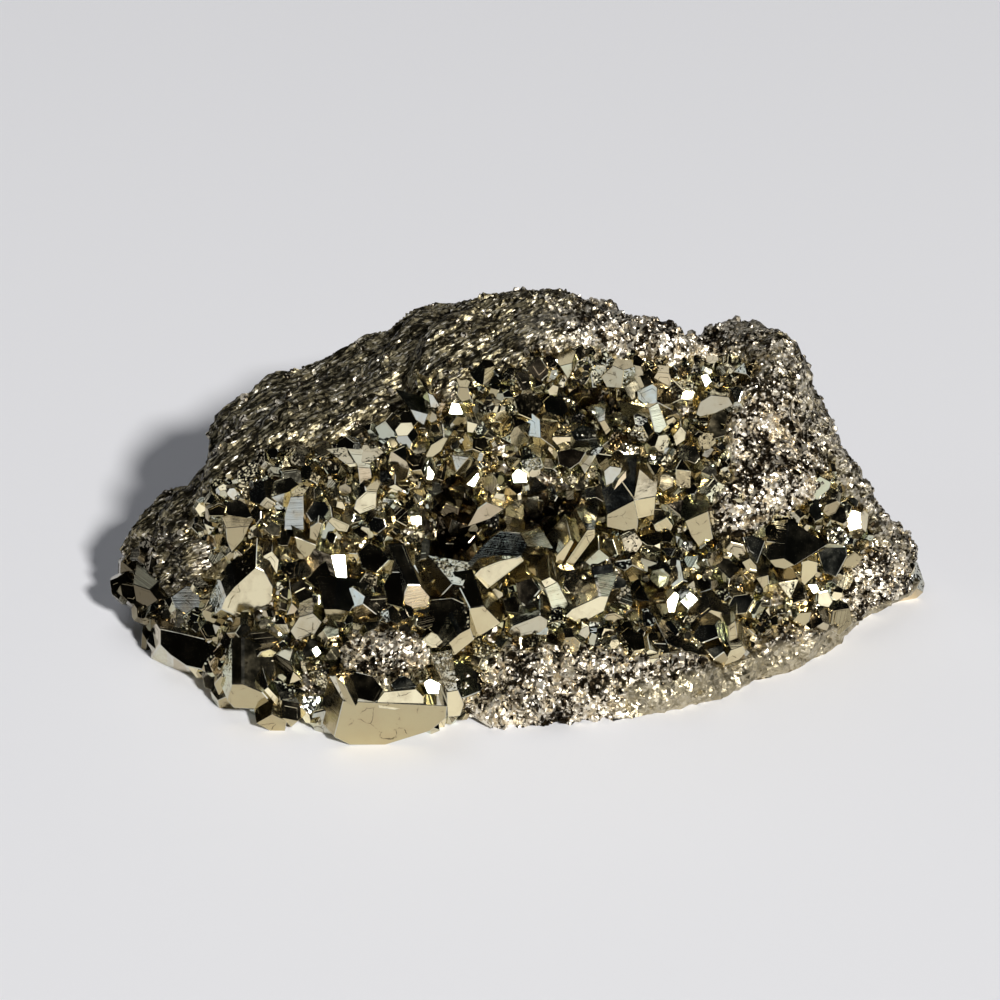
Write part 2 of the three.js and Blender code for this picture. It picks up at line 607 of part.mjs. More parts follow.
function strewnCrystals(leads) {
  const placed = [...leads];
  const names = Object.keys(HABITS);
  for (const { tries, size: [smallest, largest], spacing, seed } of STREWN) {
    for (let k = 0; k < tries; k++) {
      const number = seed * 10000 + k;
      const size = mix(smallest, largest, chance(number, 1));
      const x = mix(...STREWN_OVER.x, chance(number, 2));
      const up = mix(...STREWN_OVER.up, chance(number, 3));
      const { surface, away, cover } = seat(x, up);
      if (cover < FULL_COVER) continue;
      const out = mix(...STREWN_OVER.out, chance(number, 4)) - vugDepth(surface) - size / 2;
      const centre = surface.addScaledVector(away, out);
      if (leads.some((lead) => overFace(lead, centre, size))) continue;
      const crowded = placed.some((p) => p.middle.distanceTo(centre) <= (spacing * (p.room + size)) / 2);
      if (crowded) continue;
      const planes = crystalFaces(HABITS[names[Math.floor(names.length * chance(number, 6))]], number);
      const turn = anyTurn(number);
      placed.push({ planes, centre, middle: centre, room: size, size, step: SMALLEST_FACE_STEP, turn });
    }
  }
  return placed;
}

const SAME_CORNER = 1e-4; // corners this close (mm) are joined
const UNDERGROUND = { width: 160, length: 120, depth: 30 };

const wasm = await Module();
wasm.setup();

// A closed geometry as a solid that can be joined and cut.
function solidOf(geometry) {
  const bare = geometry.clone();
  bare.deleteAttribute("normal");
  bare.deleteAttribute("uv");
  const merged = mergeVertices(bare, SAME_CORNER);
  return new wasm.Manifold(
    new wasm.Mesh({
      numProp: 3,
      vertProperties: merged.attributes.position.array,
      triVerts: new Uint32Array(merged.index.array),
    }),
  );
}

function geometryOf(solid) {
  const { vertProperties, triVerts } = solid.getMesh();
  const geometry = new THREE.BufferGeometry();
  geometry.setAttribute("position", new THREE.BufferAttribute(vertProperties, 3));
  geometry.setIndex(new THREE.BufferAttribute(triVerts, 1));
  return geometry;
}

// Gaps that the crystals close off on all sides count as rock: only the skin that can be seen is kept.
function outerSkin(geometry) {
  const { position } = geometry.attributes;
  const corners = geometry.index.array;
  const joinedTo = Array.from({ length: position.count }, (_, vertex) => vertex);
  const skinOf = (vertex) => {
    while (joinedTo[vertex] !== vertex) vertex = joinedTo[vertex];
    return vertex;
  };
  for (let k = 0; k < corners.length; k += 3) {
    const first = skinOf(corners[k]);
    joinedTo[skinOf(corners[k + 1])] = first;
    joinedTo[skinOf(corners[k + 2])] = first;
  }
  const leftmost = joinedTo.reduce((best, _, v) => (position.getX(v) < position.getX(best) ? v : best), 0);
  const outside = skinOf(leftmost);
  const kept = Array.from(corners).filter((_, k) => skinOf(corners[k - (k % 3)]) === outside);
  geometry.setIndex(kept);
  return mergeVertices(geometry.toNonIndexed(), SAME_CORNER);
}

// Everything under the ground is cut away, which leaves the flat that the specimen rests on.
function underground() {
  const { width, length, depth } = UNDERGROUND;
  return solidOf(new THREE.BoxGeometry(width, length, depth).translate(0, 0, -depth / 2));
}

function pyriteCluster() {
  const crystals = strewnCrystals(Object.values(LEAD_FACES).map(faceCrystal));
  const lump = solidOf(lumpGeometry());
  const joined = crystals.reduce((sum, crystal) => sum.add(solidOf(crystalGeometry(crystal))), lump);
  const skin = outerSkin(geometryOf(joined.subtract(underground())));
  skin.computeVertexNormals();
  const cluster = new THREE.Mesh(
    skin,
    new THREE.MeshStandardMaterial({
      color: PYRITE.colour,
      roughness: PYRITE.roughness,
      metalness: PYRITE.metalness,
      flatShading: true,
    }),
  );
  cluster.name = "pyrite_cluster";
  return cluster;
}

const specimen = new THREE.Group();
specimen.add(pyriteCluster());

export default specimen;
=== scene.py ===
"""The looks of a pyrite cluster: a lump of massive pyrite whose front is a crust of intergrown crystals.

Lengths are in millimetres until a mesh is made, which is in metres.
"""
import functools
import itertools
import math

import bpy
import numpy as np
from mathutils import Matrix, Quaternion, Vector


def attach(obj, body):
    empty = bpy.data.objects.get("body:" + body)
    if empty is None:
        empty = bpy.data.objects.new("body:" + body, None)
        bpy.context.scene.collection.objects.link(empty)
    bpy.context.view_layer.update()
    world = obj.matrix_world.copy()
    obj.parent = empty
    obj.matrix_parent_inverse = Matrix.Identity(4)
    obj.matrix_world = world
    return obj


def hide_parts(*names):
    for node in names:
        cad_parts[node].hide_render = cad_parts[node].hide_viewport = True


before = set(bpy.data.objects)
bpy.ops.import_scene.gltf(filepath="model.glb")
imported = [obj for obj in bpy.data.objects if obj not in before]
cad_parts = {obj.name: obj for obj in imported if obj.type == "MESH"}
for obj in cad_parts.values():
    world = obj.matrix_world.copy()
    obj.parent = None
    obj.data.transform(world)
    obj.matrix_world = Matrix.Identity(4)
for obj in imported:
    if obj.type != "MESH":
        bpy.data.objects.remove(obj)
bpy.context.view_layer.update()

MM = 0.001
BODY = "root"
NODE = "pyrite_cluster"

# The lump's cross-sections from left to right: x, the toe's y, the brow's y and z, the crest's y and z, the
# back's y and the underside's z.
SECTIONS = np.array([
    [-53.2, -3.5, 0.0, 8.0, 2.0, 8.5, 5.0, 4.0],
    [-49.3, -10.5, -2.0, 12.0, 4.0, 11.5, 17.0, 1.0],
    [-43.5, -18.0, -6.0, 17.5, 8.0, 15.0, 25.0, -3.0],
    [-40.5, -22.0, -7.5, 22.5, 13.0, 21.0, 28.0, -3.0],
    [-34.0, -28.5, -8.0, 26.5, 16.0, 25.0, 31.5, -3.0],
    [-26.0, -30.0, -7.0, 28.5, 16.5, 28.8, 33.5, -3.0],
    [-18.5, -33.0, -7.0, 31.0, 16.0, 31.5, 34.5, -3.0],
    [-13.0, -31.0, -6.0, 33.0, 15.0, 36.5, 34.8, -3.0],
    [-4.5, -27.5, -3.5, 36.5, 14.0, 39.5, 34.8, -3.0],
    [5.0, -27.5, -0.5, 38.5, 13.0, 39.0, 34.0, -3.0],
    [15.0, -26.5, -0.5, 37.8, 12.0, 37.0, 33.0, -3.0],
    [22.5, -23.5, -0.5, 36.4, 10.0, 36.0, 31.0, -3.0],
    [28.5, -19.5, -1.0, 36.8, 7.5, 37.8, 28.5, -3.0],
    [33.5, -15.5, -1.5, 35.5, 5.5, 37.0, 26.0, -3.0],
    [37.5, -12.0, -2.0, 27.5, 4.0, 28.5, 23.0, -3.0],
    [42.5, -7.5, -1.5, 19.0, 3.5, 20.0, 19.0, -3.0],
    [48.0, -2.0, 0.0, 10.0, 4.0, 11.0, 14.0, -1.0],
    [52.5, 3.5, 4.5, 4.5, 5.5, 5.0, 8.0, 0.5],
])
LAST_PLACE = len(SECTIONS) - 1
# Rows count a section's corners from the front of the underside over the lip, the brow and the crest.
LAST_ROW = 7
LIP_HEIGHT = 2.2
UNDERCUT = 4.5
BACK_UNDERCUT = 5.0
BACK_LIP_HEIGHT = 6.0
# The most of the lump's thickness that an undercut takes, and of the shoulder's height for the rear lip.
THIN_UNDERCUT, THIN_BACK_LIP = 0.3, 0.8
HOLLOW_DEPTH, HOLLOW_X, HOLLOW_HALF_WIDTH = 2.4, 2.0, 24.0
CREST_ROUND_ALONG, CREST_ROUND_HEIGHT = 0.62, 0.72
FACE_END = 3  # the brow's row, where the front face ends
HALVINGS = 30  # of the lump's length, in the search for a section

WAVE_SHIFT = 1.7  # each wave starts this much later than the one before it, in radians
# Crossed waves: height, wavelength and direction.
WAVES = [
    (0.55, 19.0, (0.8, 0.5, 0.33)),
    (0.45, 12.0, (-0.4, 0.85, 0.35)),
    (0.40, 8.3, (0.55, -0.3, 0.78)),
    (0.30, 5.9, (0.2, 0.65, -0.73)),
]
# Cracks and ledges: from, to, width and depth.
GROOVES = [
    ((-9, 16, 38), (-19, -5, 30), 1.9, 2.2),
    ((-19, -5, 30), (-30, -9, 25.5), 1.8, 1.8),
    ((-31, -9.5, 25), (-44, -8, 17), 2.0, 2.6),
    ((21, 12, 36.5), (24, -2, 36), 2.4, 0.8),
    ((25, -3, 33), (20, -14, 17), 2.0, 1.5),
]
# Granular patches of the front face, which carry no crystals: centre and half-sizes.
BARE_PATCHES = [
    ((5.5, -27, 4), (14.5, 7, 6.5)),
    ((19, -24, 2.5), (8, 6, 4.5)),
    ((34, -6, 29), (8.5, 9, 11)),
    ((28.5, -12, 21), (5.5, 7, 4)),
    ((47, -2, 5.5), (6.5, 9, 5)),
    ((34, -17, 2.5), (8, 6, 3.2)),
    ((-17.5, -26.5, 9.0), (6.6, 4.0, 2.6)),
    ((-46.5, -9, 13), (5, 7, 5.5)),
]
PATCH_BORDER = (0.85, 1.1)  # crystals set in between these shares of a patch's half-sizes
BROW_BORDER, BROW_FADE = 0.25, 0.4  # they end this far above the brow, over this many rows
# The right part's foot is a rim of smooth rock: how it sets in along x, the row it reaches and its border.
RIM_START = (8, 15)
RIM_ROW = 1.12
RIM_BORDER = 0.12
CRYSTAL_RECESS = 2.2
# Hollows between the crystals: centre, width and depth.
VUGS = [
    ((-9.6, -21.2, 11.8), 3.0, 3.2),
    ((-8.0, -15.0, 18.3), 4.2, 5.0),
    ((-9.6, -11.6, 24.4), 3.4, 3.6),
    ((4.2, -12.4, 19.3), 4.4, 5.2),
    ((11.5, -4.8, 32.4), 3.0, 3.0),
    ((6.6, -4.2, 33.4), 3.4, 3.0),
    ((-20.0, -9.6, 27.2), 3.2, 3.0),
    ((-40.6, -14.6, 13.8), 3.2, 2.8),
    ((-26.0, -17.4, 16.6), 2.8, 2.4),
    ((16.0, -17.6, 12.6), 3.4, 2.6),
    ((32.5, -11.6, 14.0), 3.4, 2.6),
]

CAMERA_AT = (-0.0032, -0.3718, 0.2142)
CAMERA_TILT = math.radians(62)
CAMERA_LENS = 115.2
SENSOR_WIDTH = 36
# The photo's frame, 1000 x 1000 pixels: its middle, and how many pixels one unit of slope covers.
PICTURE_MIDDLE = 500
PICTURE_SCALE = CAMERA_LENS / SENSOR_WIDTH * 1000
EYE = np.array(CAMERA_AT) / MM
AHEAD = np.array([0, math.sin(CAMERA_TILT), -math.cos(CAMERA_TILT)])
UPWARDS = np.array([0, math.cos(CAMERA_TILT), math.sin(CAMERA_TILT)])

# Crystals that catch the eye, each by its main face: the face's corners in the photo (pixels), how many
# degrees right and up it points, how far out of the crystals' outline it stands (mm), the crystal's depth
# (mm), how many degrees its sides lean away from the face, with leans for sides that face a certain way, and
# the face's tone and how ribbed it is.
LEAD_FACES = {
    "dark face at the left end": dict(
        corners=[
            (160, 629), (180, 633), (208, 640), (217, 648), (209, 671), (186, 666), (170, 655), (160, 645),
        ],
        points=(-25, 28), out=0.5, depth=4.5, leans={"down": 50, "down left": 50}, tone=0.5),
    "left tip": dict(
        corners=[(133, 584), (150, 590), (158, 600), (147, 608), (136, 601)],
        points=(-38, 6), out=0.2, lean=60, tone=0.5),
    "patterned face": dict(
        corners=[(171, 597), (186, 586), (198, 587), (201, 606), (190, 617), (175, 608)],
        points=(-12, 16), out=0.3, tone=0.85, ribbed=0.6),
    "lower left face": dict(
        corners=[(227, 700), (232, 684), (243, 684), (262, 692), (273, 705), (256, 709), (234, 708)],
        points=(0, -4), out=0.6, depth=4.5, leans={"up": 48, "up right": 52}),
    "beige foot": dict(
        corners=[(256, 723), (272, 714), (287, 721), (285, 731), (270, 733)],
        points=(0, -10), out=0.3, lean=84),
    "cream plate": dict(
        corners=[
            (221, 609), (225, 598), (234, 587), (256, 567), (264, 571),
            (273, 587), (272, 600), (260, 616), (240, 618),
        ],
        points=(0, 3), out=0.9, depth=4.5, lean=70, leans={"down": 38, "left": 72}, tone=0.15),
    "tall ribbed face": dict(
        corners=[(291, 497), (303, 496), (304, 530), (284, 530), (285, 515)],
        points=(-6, 8), out=0.5, depth=4.5, tone=0.85, ribbed=1),
    "cream gem": dict(
        corners=[(357, 499), (366, 491), (377, 492), (376, 508), (360, 514), (354, 509)],
        points=(4, 4), out=0.6, tone=0.1),
    "striped face": dict(
        corners=[(408, 585), (420, 585), (430, 597), (427, 607), (403, 610), (404, 595)],
        points=(12, 4), out=0.6, depth=4.5, leans={"left": 56, "up": 50}, tone=0.02, ribbed=1),
    "rough grey": dict(
        corners=[(290, 631), (299, 617), (313, 613), (322, 622), (314, 636), (296, 640)],
        points=(4, 8), out=0.4, tone=0.6, ribbed=0.4),
    "block underside": dict(
        corners=[(343, 701), (447, 706), (446, 718), (430, 731), (385, 745), (350, 745), (334, 737)],
        points=(3, -5), out=0.5, depth=4.5, lean=72, leans={"left": 68, "up": 84}),
    "block ledge": dict(
        corners=[(377, 701), (384, 692), (416, 689), (424, 697), (424, 705), (395, 710), (379, 708)],
        points=(6, 8), out=3.9, depth=5, lean=80, leans={"up": 88}, tone=0.1),
    "black pentagon": dict(
        corners=[(347, 677), (356, 672), (372, 676), (383, 690), (375, 704), (360, 706), (352, 693)],
        points=(-6, 34), out=3.7, depth=5.5, lean=86, tone=0.5),
    "right of block": dict(
        corners=[(447, 706), (447, 692), (458, 690), (464, 704), (460, 716), (448, 717)],
        points=(10, 0), out=5.1, lean=84, tone=0.22),
    "kite": dict(
        corners=[(464, 625), (470, 608), (484, 606), (501, 623), (482, 635), (468, 641)],
        points=(8, 3), out=0.7, depth=4.5, leans={"left": 60, "up left": 55}, tone=0.28),
    "bar": dict(
        corners=[(440, 650), (460, 633), (470, 628), (474, 640), (453, 657), (441, 658)],
        points=(8, 3), out=0.7, depth=4.5, leans={"up left": 60}, tone=0.28),
    "long cream": dict(
        corners=[(464, 585), (481, 568), (499, 561), (521, 556), (524, 561), (476, 598), (470, 593)],
        points=(2, 2), out=1.5, depth=4.5, tone=0.15),
    "teal plate": dict(
        corners=[
            (455, 580), (470, 560), (483, 545), (500, 531), (520, 533), (527, 545), (521, 556), (464, 585),
        ],
        points=(-26, 33), out=1.7, depth=5, tone=0.82, ribbed=0.8),
    "gold wing": dict(
        corners=[(467, 527), (477, 509), (487, 502), (504, 509), (490, 519)],
        points=(-6, 6), out=0.4, tone=0.02),
    "leaning bar": dict(
        corners=[(563, 566), (587, 530), (595, 529), (595, 537), (570, 570)],
        points=(8, 4), out=0.8, depth=4.5),
    "ribbed wedge": dict(
        corners=[(545, 588), (557, 582), (571, 608), (563, 618), (551, 607)],
        points=(14, 6), out=0.6, depth=4.5, tone=0.7, ribbed=1),
    "long pale": dict(
        corners=[(565, 616), (572, 609), (600, 596), (609, 596), (604, 611), (580, 624), (574, 623)],
        points=(4, 2), out=0.5, depth=4.5, tone=0.12),
    "pale slab": dict(
        corners=[(508, 632), (512, 626), (540, 615), (548, 620), (546, 631), (514, 638)],
        points=(2, 2), out=0.4, tone=0.6, ribbed=0.5),
    "brown face": dict(
        corners=[(516, 583), (532, 578), (540, 590), (526, 607), (518, 600)],
        points=(4, 22), out=0.5, depth=4.5, leans={"down": 45, "down right": 48}, tone=0.02, ribbed=0.6),
    "right kite, left half": dict(
        corners=[(607, 514), (634, 500), (638, 519), (637, 534), (607, 527)],
        points=(-2, 4), out=0.8, depth=4.5, leans={"up": 50}, tone=0.28),
    "right kite, right half": dict(
        corners=[(634, 500), (656, 496), (654, 515), (638, 519)],
        points=(10, 5), out=1.5, depth=4.5, leans={"up": 60}),
    "rounded crystal": dict(
        corners=[(696, 414), (700, 402), (711, 395), (729, 397), (733, 405), (716, 413), (700, 417)],
        points=(-4, 8), out=0.6, depth=4.5, tone=0.6, ribbed=0.3),
    "wide brown face": dict(
        corners=[(685, 521), (708, 511), (711, 527), (713, 539), (699, 547), (691, 536)],
        points=(2, 4), out=0.7, depth=4.5),
    "greenish face": dict(
        corners=[(804, 490), (820, 476), (831, 482), (829, 489), (815, 502)],
        points=(0, 8), out=0.5, tone=0.72, ribbed=0.4),
    "grey plate": dict(
        corners=[(818, 552), (838, 541), (846, 546), (847, 556), (836, 577), (824, 573)],
        points=(4, 22), out=0.5, depth=4.5, tone=0.8),
    "black face by the cap": dict(
        corners=[(306, 580), (313, 572), (330, 556), (333, 580), (330, 588), (316, 588)],
        points=(-12, 30), out=0.4, tone=0.5),
    "black face by the stripes": dict(
        corners=[(383, 585), (392, 572), (403, 572), (406, 584), (402, 608), (388, 604)],
        points=(-14, 32), out=0.3, tone=0.5),
    "black face by the kite": dict(
        corners=[(430, 600), (452, 598), (469, 606), (464, 626), (446, 644), (428, 628)],
        points=(-10, 38), out=0.2, tone=0.5),
    "dark brown ribs": dict(
        corners=[(358, 553), (368, 543), (380, 548), (389, 560), (376, 573), (362, 568)],
        points=(-8, 26), out=0.4, tone=0.5, ribbed=0.6),
    "blue-grey face": dict(
        corners=[(518, 421), (530, 412), (540, 420), (541, 438), (528, 436)],
        points=(-35, 35), out=0.3, tone=0.85, ribbed=0.5),
}
# The same for smaller ones, which only the fine surface has.
MINOR_FACES = {
    "sliver under the tip": dict(
        corners=[(142, 632), (147, 640), (146, 656), (141, 650)],
        points=(-40, 2), out=0.2, lean=60),
    "white strip": dict(
        corners=[(264, 690), (268, 687), (280, 700), (277, 706)],
        points=(18, -2), out=0.9, lean=80, tone=0.1),
    "small beige face": dict(
        corners=[(214, 684), (221, 676), (231, 678), (219, 696)],
        points=(-16, -2), out=0.4),
    "strip above the plate": dict(
        corners=[(220, 580), (244, 562), (247, 565), (230, 579)],
        points=(-8, 2), out=0.3),
    "black and beige": dict(
        corners=[(226, 528), (249, 526), (243, 540), (232, 552), (227, 541)],
        points=(2, 6), out=0.4, tone=0.35),
    "dark hexagon": dict(
        corners=[(313, 502), (325, 502), (331, 514), (327, 521), (311, 521), (306, 513)],
        points=(0, 24), out=0.4, depth=4.5, leans={"down": 42, "down left": 46}, tone=0.8),
    "beige shield": dict(
        corners=[(295, 537), (316, 545), (316, 552), (305, 558), (297, 548)],
        points=(0, 2), out=0.3),
    "tall white face": dict(
        corners=[(331, 555), (345, 555), (347, 579), (337, 580)],
        points=(15, 32), out=0.7, depth=4.5, lean=62, leans={"left": 46}, tone=0.1),
    "blue cap": dict(
        corners=[(344, 590), (352, 587), (365, 597), (363, 604), (352, 608), (347, 603)],
        points=(-33, 39), out=0.6, depth=4.5, lean=55, tone=0.85),
    "ball under the cap": dict(
        corners=[(324, 609), (336, 609), (350, 611), (344, 621), (332, 625), (326, 618)],
        points=(-6, -8), out=0.7, leans={"up": 62}),
    "face above the stripes": dict(
        corners=[(409, 570), (415, 564), (420, 575), (419, 584), (408, 583)],
        points=(8, 12), out=0.2, tone=0.85),
    "ribbed oval": dict(
        corners=[(243, 640), (252, 632), (268, 632), (279, 640), (266, 645), (250, 645)],
        points=(0, 24), out=0.3, tone=0.5, ribbed=1),
    "pink triangle": dict(
        corners=[(287, 615), (292, 603), (301, 612)],
        points=(4, 4), out=0.4, tone=0.02),
    "glinting square": dict(
        corners=[(312, 650), (317, 646), (321, 653), (316, 657)],
        points=(16, 32), out=0.3, depth=3, tone=0.1),
    "grey pentagon": dict(
        corners=[(391, 684), (401, 675), (409, 678), (416, 686), (411, 691), (397, 697)],
        points=(2, 26), out=4.9, depth=5.5, lean=84, tone=0.8, ribbed=1),
    "block left flank": dict(
        corners=[(334, 674), (345, 685), (356, 706), (346, 703), (340, 690)],
        points=(-28, 4), out=5.2, depth=4.5, lean=96),
    "block glint": dict(
        corners=[(424, 683), (430, 679), (440, 684), (438, 694), (428, 693)],
        points=(14, 33), out=4.7, depth=5, lean=88, tone=0.1),
    "cream wing": dict(
        corners=[(440, 597), (452, 584), (463, 586), (468, 594)],
        points=(-6, -2), out=0.8, leans={"up left": 46}, tone=0.02),
    "cream pentagon": dict(
        corners=[(492, 499), (496, 493), (504, 494), (506, 504), (496, 505)],
        points=(4, 4), out=0.2, depth=3, tone=0.15),
    "glint under the brow": dict(
        corners=[(512, 475), (518, 469), (526, 474), (527, 482), (514, 483)],
        points=(13, 31), out=0.5, tone=0.1),
    "glint by the gold wing": dict(
        corners=[(467, 484), (478, 473), (479, 477), (474, 487)],
        points=(14, 31), out=0.3, depth=3, tone=0.1),
    "thin leaning bar": dict(
        corners=[(556, 556), (571, 539), (574, 542), (561, 566), (556, 563)],
        points=(10, 4), out=0.3),
    "green diamond": dict(
        corners=[(585, 562), (599, 549), (610, 558), (592, 567)],
        points=(0, 6), out=0.4, tone=0.7),
    "white on the wedge": dict(
        corners=[(541, 581), (550, 577), (557, 582), (545, 588)],
        points=(6, 10), out=2.8, tone=0.1),
    "whitish face": dict(
        corners=[(604, 471), (610, 466), (622, 468), (618, 480), (606, 486)],
        points=(4, 8), out=0.5, tone=0.88, ribbed=0.4),
    "pinkish face": dict(
        corners=[(614, 489), (618, 480), (626, 470), (627, 489), (616, 495)],
        points=(16, 8), out=0.45, tone=0.02),
    "bluish face": dict(
        corners=[(637, 391), (652, 384), (657, 388), (657, 402), (648, 407), (638, 399)],
        points=(-36, 34), out=0.6, tone=0.88, ribbed=0.4),
    "striped bar": dict(
        corners=[(649, 408), (658, 403), (667, 426), (660, 433), (655, 432)],
        points=(14, 8), out=0.6, leans={"left": 55}, tone=0.75, ribbed=1),
    "cream spot": dict(
        corners=[(673, 436), (681, 426), (686, 432), (685, 440), (676, 446)],
        points=(2, 4), out=0.5, tone=0.15),
    "white above the rounded one": dict(
        corners=[(701, 376), (707, 374), (711, 381), (706, 387)],
        points=(11, 30), out=0.4, depth=3, tone=0.1),
    "brown face beside it": dict(
        corners=[(708, 511), (722, 510), (722, 518), (711, 527)],
        points=(6, 4), out=0.6),
    "brown pentagon": dict(
        corners=[(726, 511), (730, 499), (741, 498), (748, 508), (738, 513)],
        points=(0, 2), out=0.4, tone=0.25),
    "brown leaf": dict(
        corners=[(751, 513), (753, 497), (766, 492), (770, 498), (761, 509)],
        points=(4, 4), out=0.4, tone=0.35),
    "pale leaf": dict(
        corners=[(766, 492), (779, 479), (781, 484), (770, 494)],
        points=(6, 8), out=0.3, depth=3, tone=0.88),
    "pink ribbed face": dict(
        corners=[(802, 562), (808, 560), (817, 562), (817, 573), (800, 590)],
        points=(10, 4), out=0.5, depth=4.5, leans={"left": 55}, ribbed=0.5),
    "grey tent": dict(
        corners=[(743, 537), (752, 535), (765, 541), (757, 563), (750, 558)],
        points=(0, 22), out=0.5, depth=4.5, leans={"left": 52, "down": 44}, tone=0.8, ribbed=0.4),
    "beige under the tent": dict(
        corners=[(742, 562), (750, 558), (756, 565), (757, 573), (747, 571)],
        points=(2, 2), out=0.4, depth=3.5),
    "half moon": dict(
        corners=[(769, 560), (784, 558), (795, 565), (785, 569), (775, 567)],
        points=(0, 0), out=0.5, leans={"up": 50}),
    "beige chip": dict(
        corners=[(756, 578), (768, 575), (769, 584), (763, 589)],
        points=(2, 2), out=0.3, depth=3),
    "beige chip at the right": dict(
        corners=[(793, 621), (799, 613), (811, 612), (809, 622), (801, 628)],
        points=(2, 2), out=0.3, depth=3.5),
    "cream foot": dict(
        corners=[(722, 666), (731, 650), (742, 646), (746, 652), (739, 660), (728, 664)],
        points=(4, -4), out=0.4, tone=0.25),
    "banded face": dict(
        corners=[(728, 626), (735, 621), (739, 646), (729, 649)],
        points=(4, 6), out=0.4, ribbed=1),
    "dark face at the right": dict(
        corners=[(692, 636), (700, 625), (715, 625), (718, 637), (702, 643)],
        points=(-8, 22), out=0.5, depth=4.5, leans={"down": 48}, tone=0.8),
    "dark face below it": dict(
        corners=[(706, 650), (722, 645), (724, 652), (714, 659)],
        points=(0, 26), out=0.4, leans={"down": 46}, tone=0.8),
    "white star": dict(
        corners=[(667, 601), (675, 592), (679, 596), (674, 612), (669, 612)],
        points=(12, 32), out=0.5, tone=0.1),
    "cream dot": dict(
        corners=[(646, 652), (650, 649), (658, 652), (656, 657), (647, 655)],
        points=(4, 4), out=0.4, depth=3, tone=0.1),
    "cream dot below it": dict(
        corners=[(650, 659), (659, 658), (658, 667), (651, 668)],
        points=(4, 2), out=0.4, depth=3, tone=0.1),
    "wedge": dict(
        corners=[(667, 643), (699, 658), (673, 661)],
        points=(0, 0), out=0.3, depth=3.5, tone=0.25),
    "lower wedge": dict(
        corners=[(671, 667), (690, 671), (698, 679), (680, 679)],
        points=(2, -4), out=0.2, depth=3.5, tone=0.25),
    "cream dot at the right": dict(
        corners=[(741, 600), (746, 595), (753, 597), (752, 604), (745, 603)],
        points=(4, 4), out=0.3, depth=3, tone=0.2),
    "ribbed oval at the right": dict(
        corners=[(758, 603), (764, 596), (771, 599), (771, 606), (762, 607)],
        points=(2, 20), out=0.3, depth=3, tone=0.5, ribbed=1),
    "glint at the right": dict(
        corners=[(808, 585), (816, 584), (819, 590), (814, 594)],
        points=(10, 32), out=0.3, depth=3, tone=0.1),
    "beige arc": dict(
        corners=[(309, 545), (310, 527), (318, 522), (322, 524), (318, 537), (314, 546)],
        points=(-4, 4), out=0.5, tone=0.28),
    "beige gem": dict(
        corners=[(328, 521), (332, 517), (350, 525), (347, 532), (338, 531)],
        points=(6, 2), out=0.5, tone=0.25),
    "grey oval": dict(
        corners=[(368, 524), (374, 517), (384, 519), (386, 527), (378, 533), (370, 531)],
        points=(-24, 24), out=0.4, depth=3.5, tone=0.82),
    "cream chips": dict(
        corners=[(263, 556), (272, 551), (279, 560), (277, 574), (268, 570)],
        points=(6, 6), out=0.5, tone=0.12),
    "pale sliver": dict(
        corners=[(428, 393), (433, 395), (440, 406), (431, 410)],
        points=(6, 8), out=0.4, depth=3, tone=0.88),
    "grey sliver": dict(
        corners=[(410, 409), (428, 414), (424, 425), (416, 420)],
        points=(0, 10), out=0.4, depth=3.5, tone=0.85),
    "white sliver": dict(
        corners=[(452, 403), (459, 404), (463, 414), (449, 414)],
        points=(14, 30), out=0.4, depth=3, tone=0.1),
    "beige diamond": dict(
        corners=[(459, 387), (468, 388), (471, 399), (462, 402), (457, 395)],
        points=(0, 6), out=0.4, depth=3.5, tone=0.35),
    "cream diamond": dict(
        corners=[(467, 421), (478, 424), (473, 433), (467, 432)],
        points=(4, 4), out=0.4, depth=3, tone=0.15),
    "long beige": dict(
        corners=[(425, 457), (431, 445), (444, 437), (448, 438), (441, 451), (433, 457)],
        points=(2, 6), out=0.5, tone=0.25),
    "white dot": dict(
        corners=[(428, 466), (434, 473), (432, 480), (427, 479)],
        points=(14, 31), out=0.3, depth=3, tone=0.1),
    "cream sliver": dict(
        corners=[(388, 487), (395, 484), (404, 490), (397, 491)],
        points=(2, 4), out=0.3, depth=3, tone=0.15),
    "cream sliver at the left": dict(
        corners=[(346, 464), (373, 461), (367, 466), (350, 467)],
        points=(2, 8), out=0.4, depth=3.5, tone=0.1),
    "yellow ribs": dict(
        corners=[(358, 467), (370, 468), (372, 478), (360, 484)],
        points=(6, 6), out=0.4, depth=3.5, tone=0.02, ribbed=1),
    "small kite": dict(
        corners=[(560, 366), (572, 363), (572, 370), (568, 379)],
        points=(2, 4), out=0.3, depth=3, tone=0.7),
    "beige dot": dict(
        corners=[(599, 422), (605, 420), (611, 430), (606, 435)],
        points=(4, 2), out=0.3, depth=3),
    "cream dot in the middle": dict(
        corners=[(492, 412), (495, 406), (499, 406), (497, 413)],
        points=(2, 6), out=0.3, depth=3, tone=0.15),
    "dark brown face in the upper middle": dict(
        corners=[(557, 452), (570, 449), (586, 452), (580, 462), (570, 469), (559, 464)],
        points=(-4, 24), out=0.9, depth=3, tone=0.0),
    "black face beside the brown one": dict(
        corners=[(503, 600), (514, 596), (520, 606), (518, 613), (506, 612)],
        points=(-6, 28), out=0.3, depth=3, tone=0.4),
    "white ribs": dict(
        corners=[(410, 516), (421, 516), (422, 525), (412, 525)],
        points=(14, 31), out=0.4, depth=3, tone=0.1, ribbed=1),
}
ROOT = 3.2  # every crystal reaches at least this far below the outline
FACINGS = {
    "right": 0, "up right": 45, "up": 90, "up left": 135, "left": 180, "down left": 225, "down": 270,
    "down right": 315,
}
FACING_SPREAD = 50  # a side within this angle of a facing takes that facing's lean

# The other crystals of the solid: places tried, smallest and largest size, spacing and seed.
STREWN = [
    (900, (6.2, 8.2), 0.72, 13),
    (1900, (4.6, 6.0), 0.7, 12),
]
NUMBERS_PER_SEED = 10000
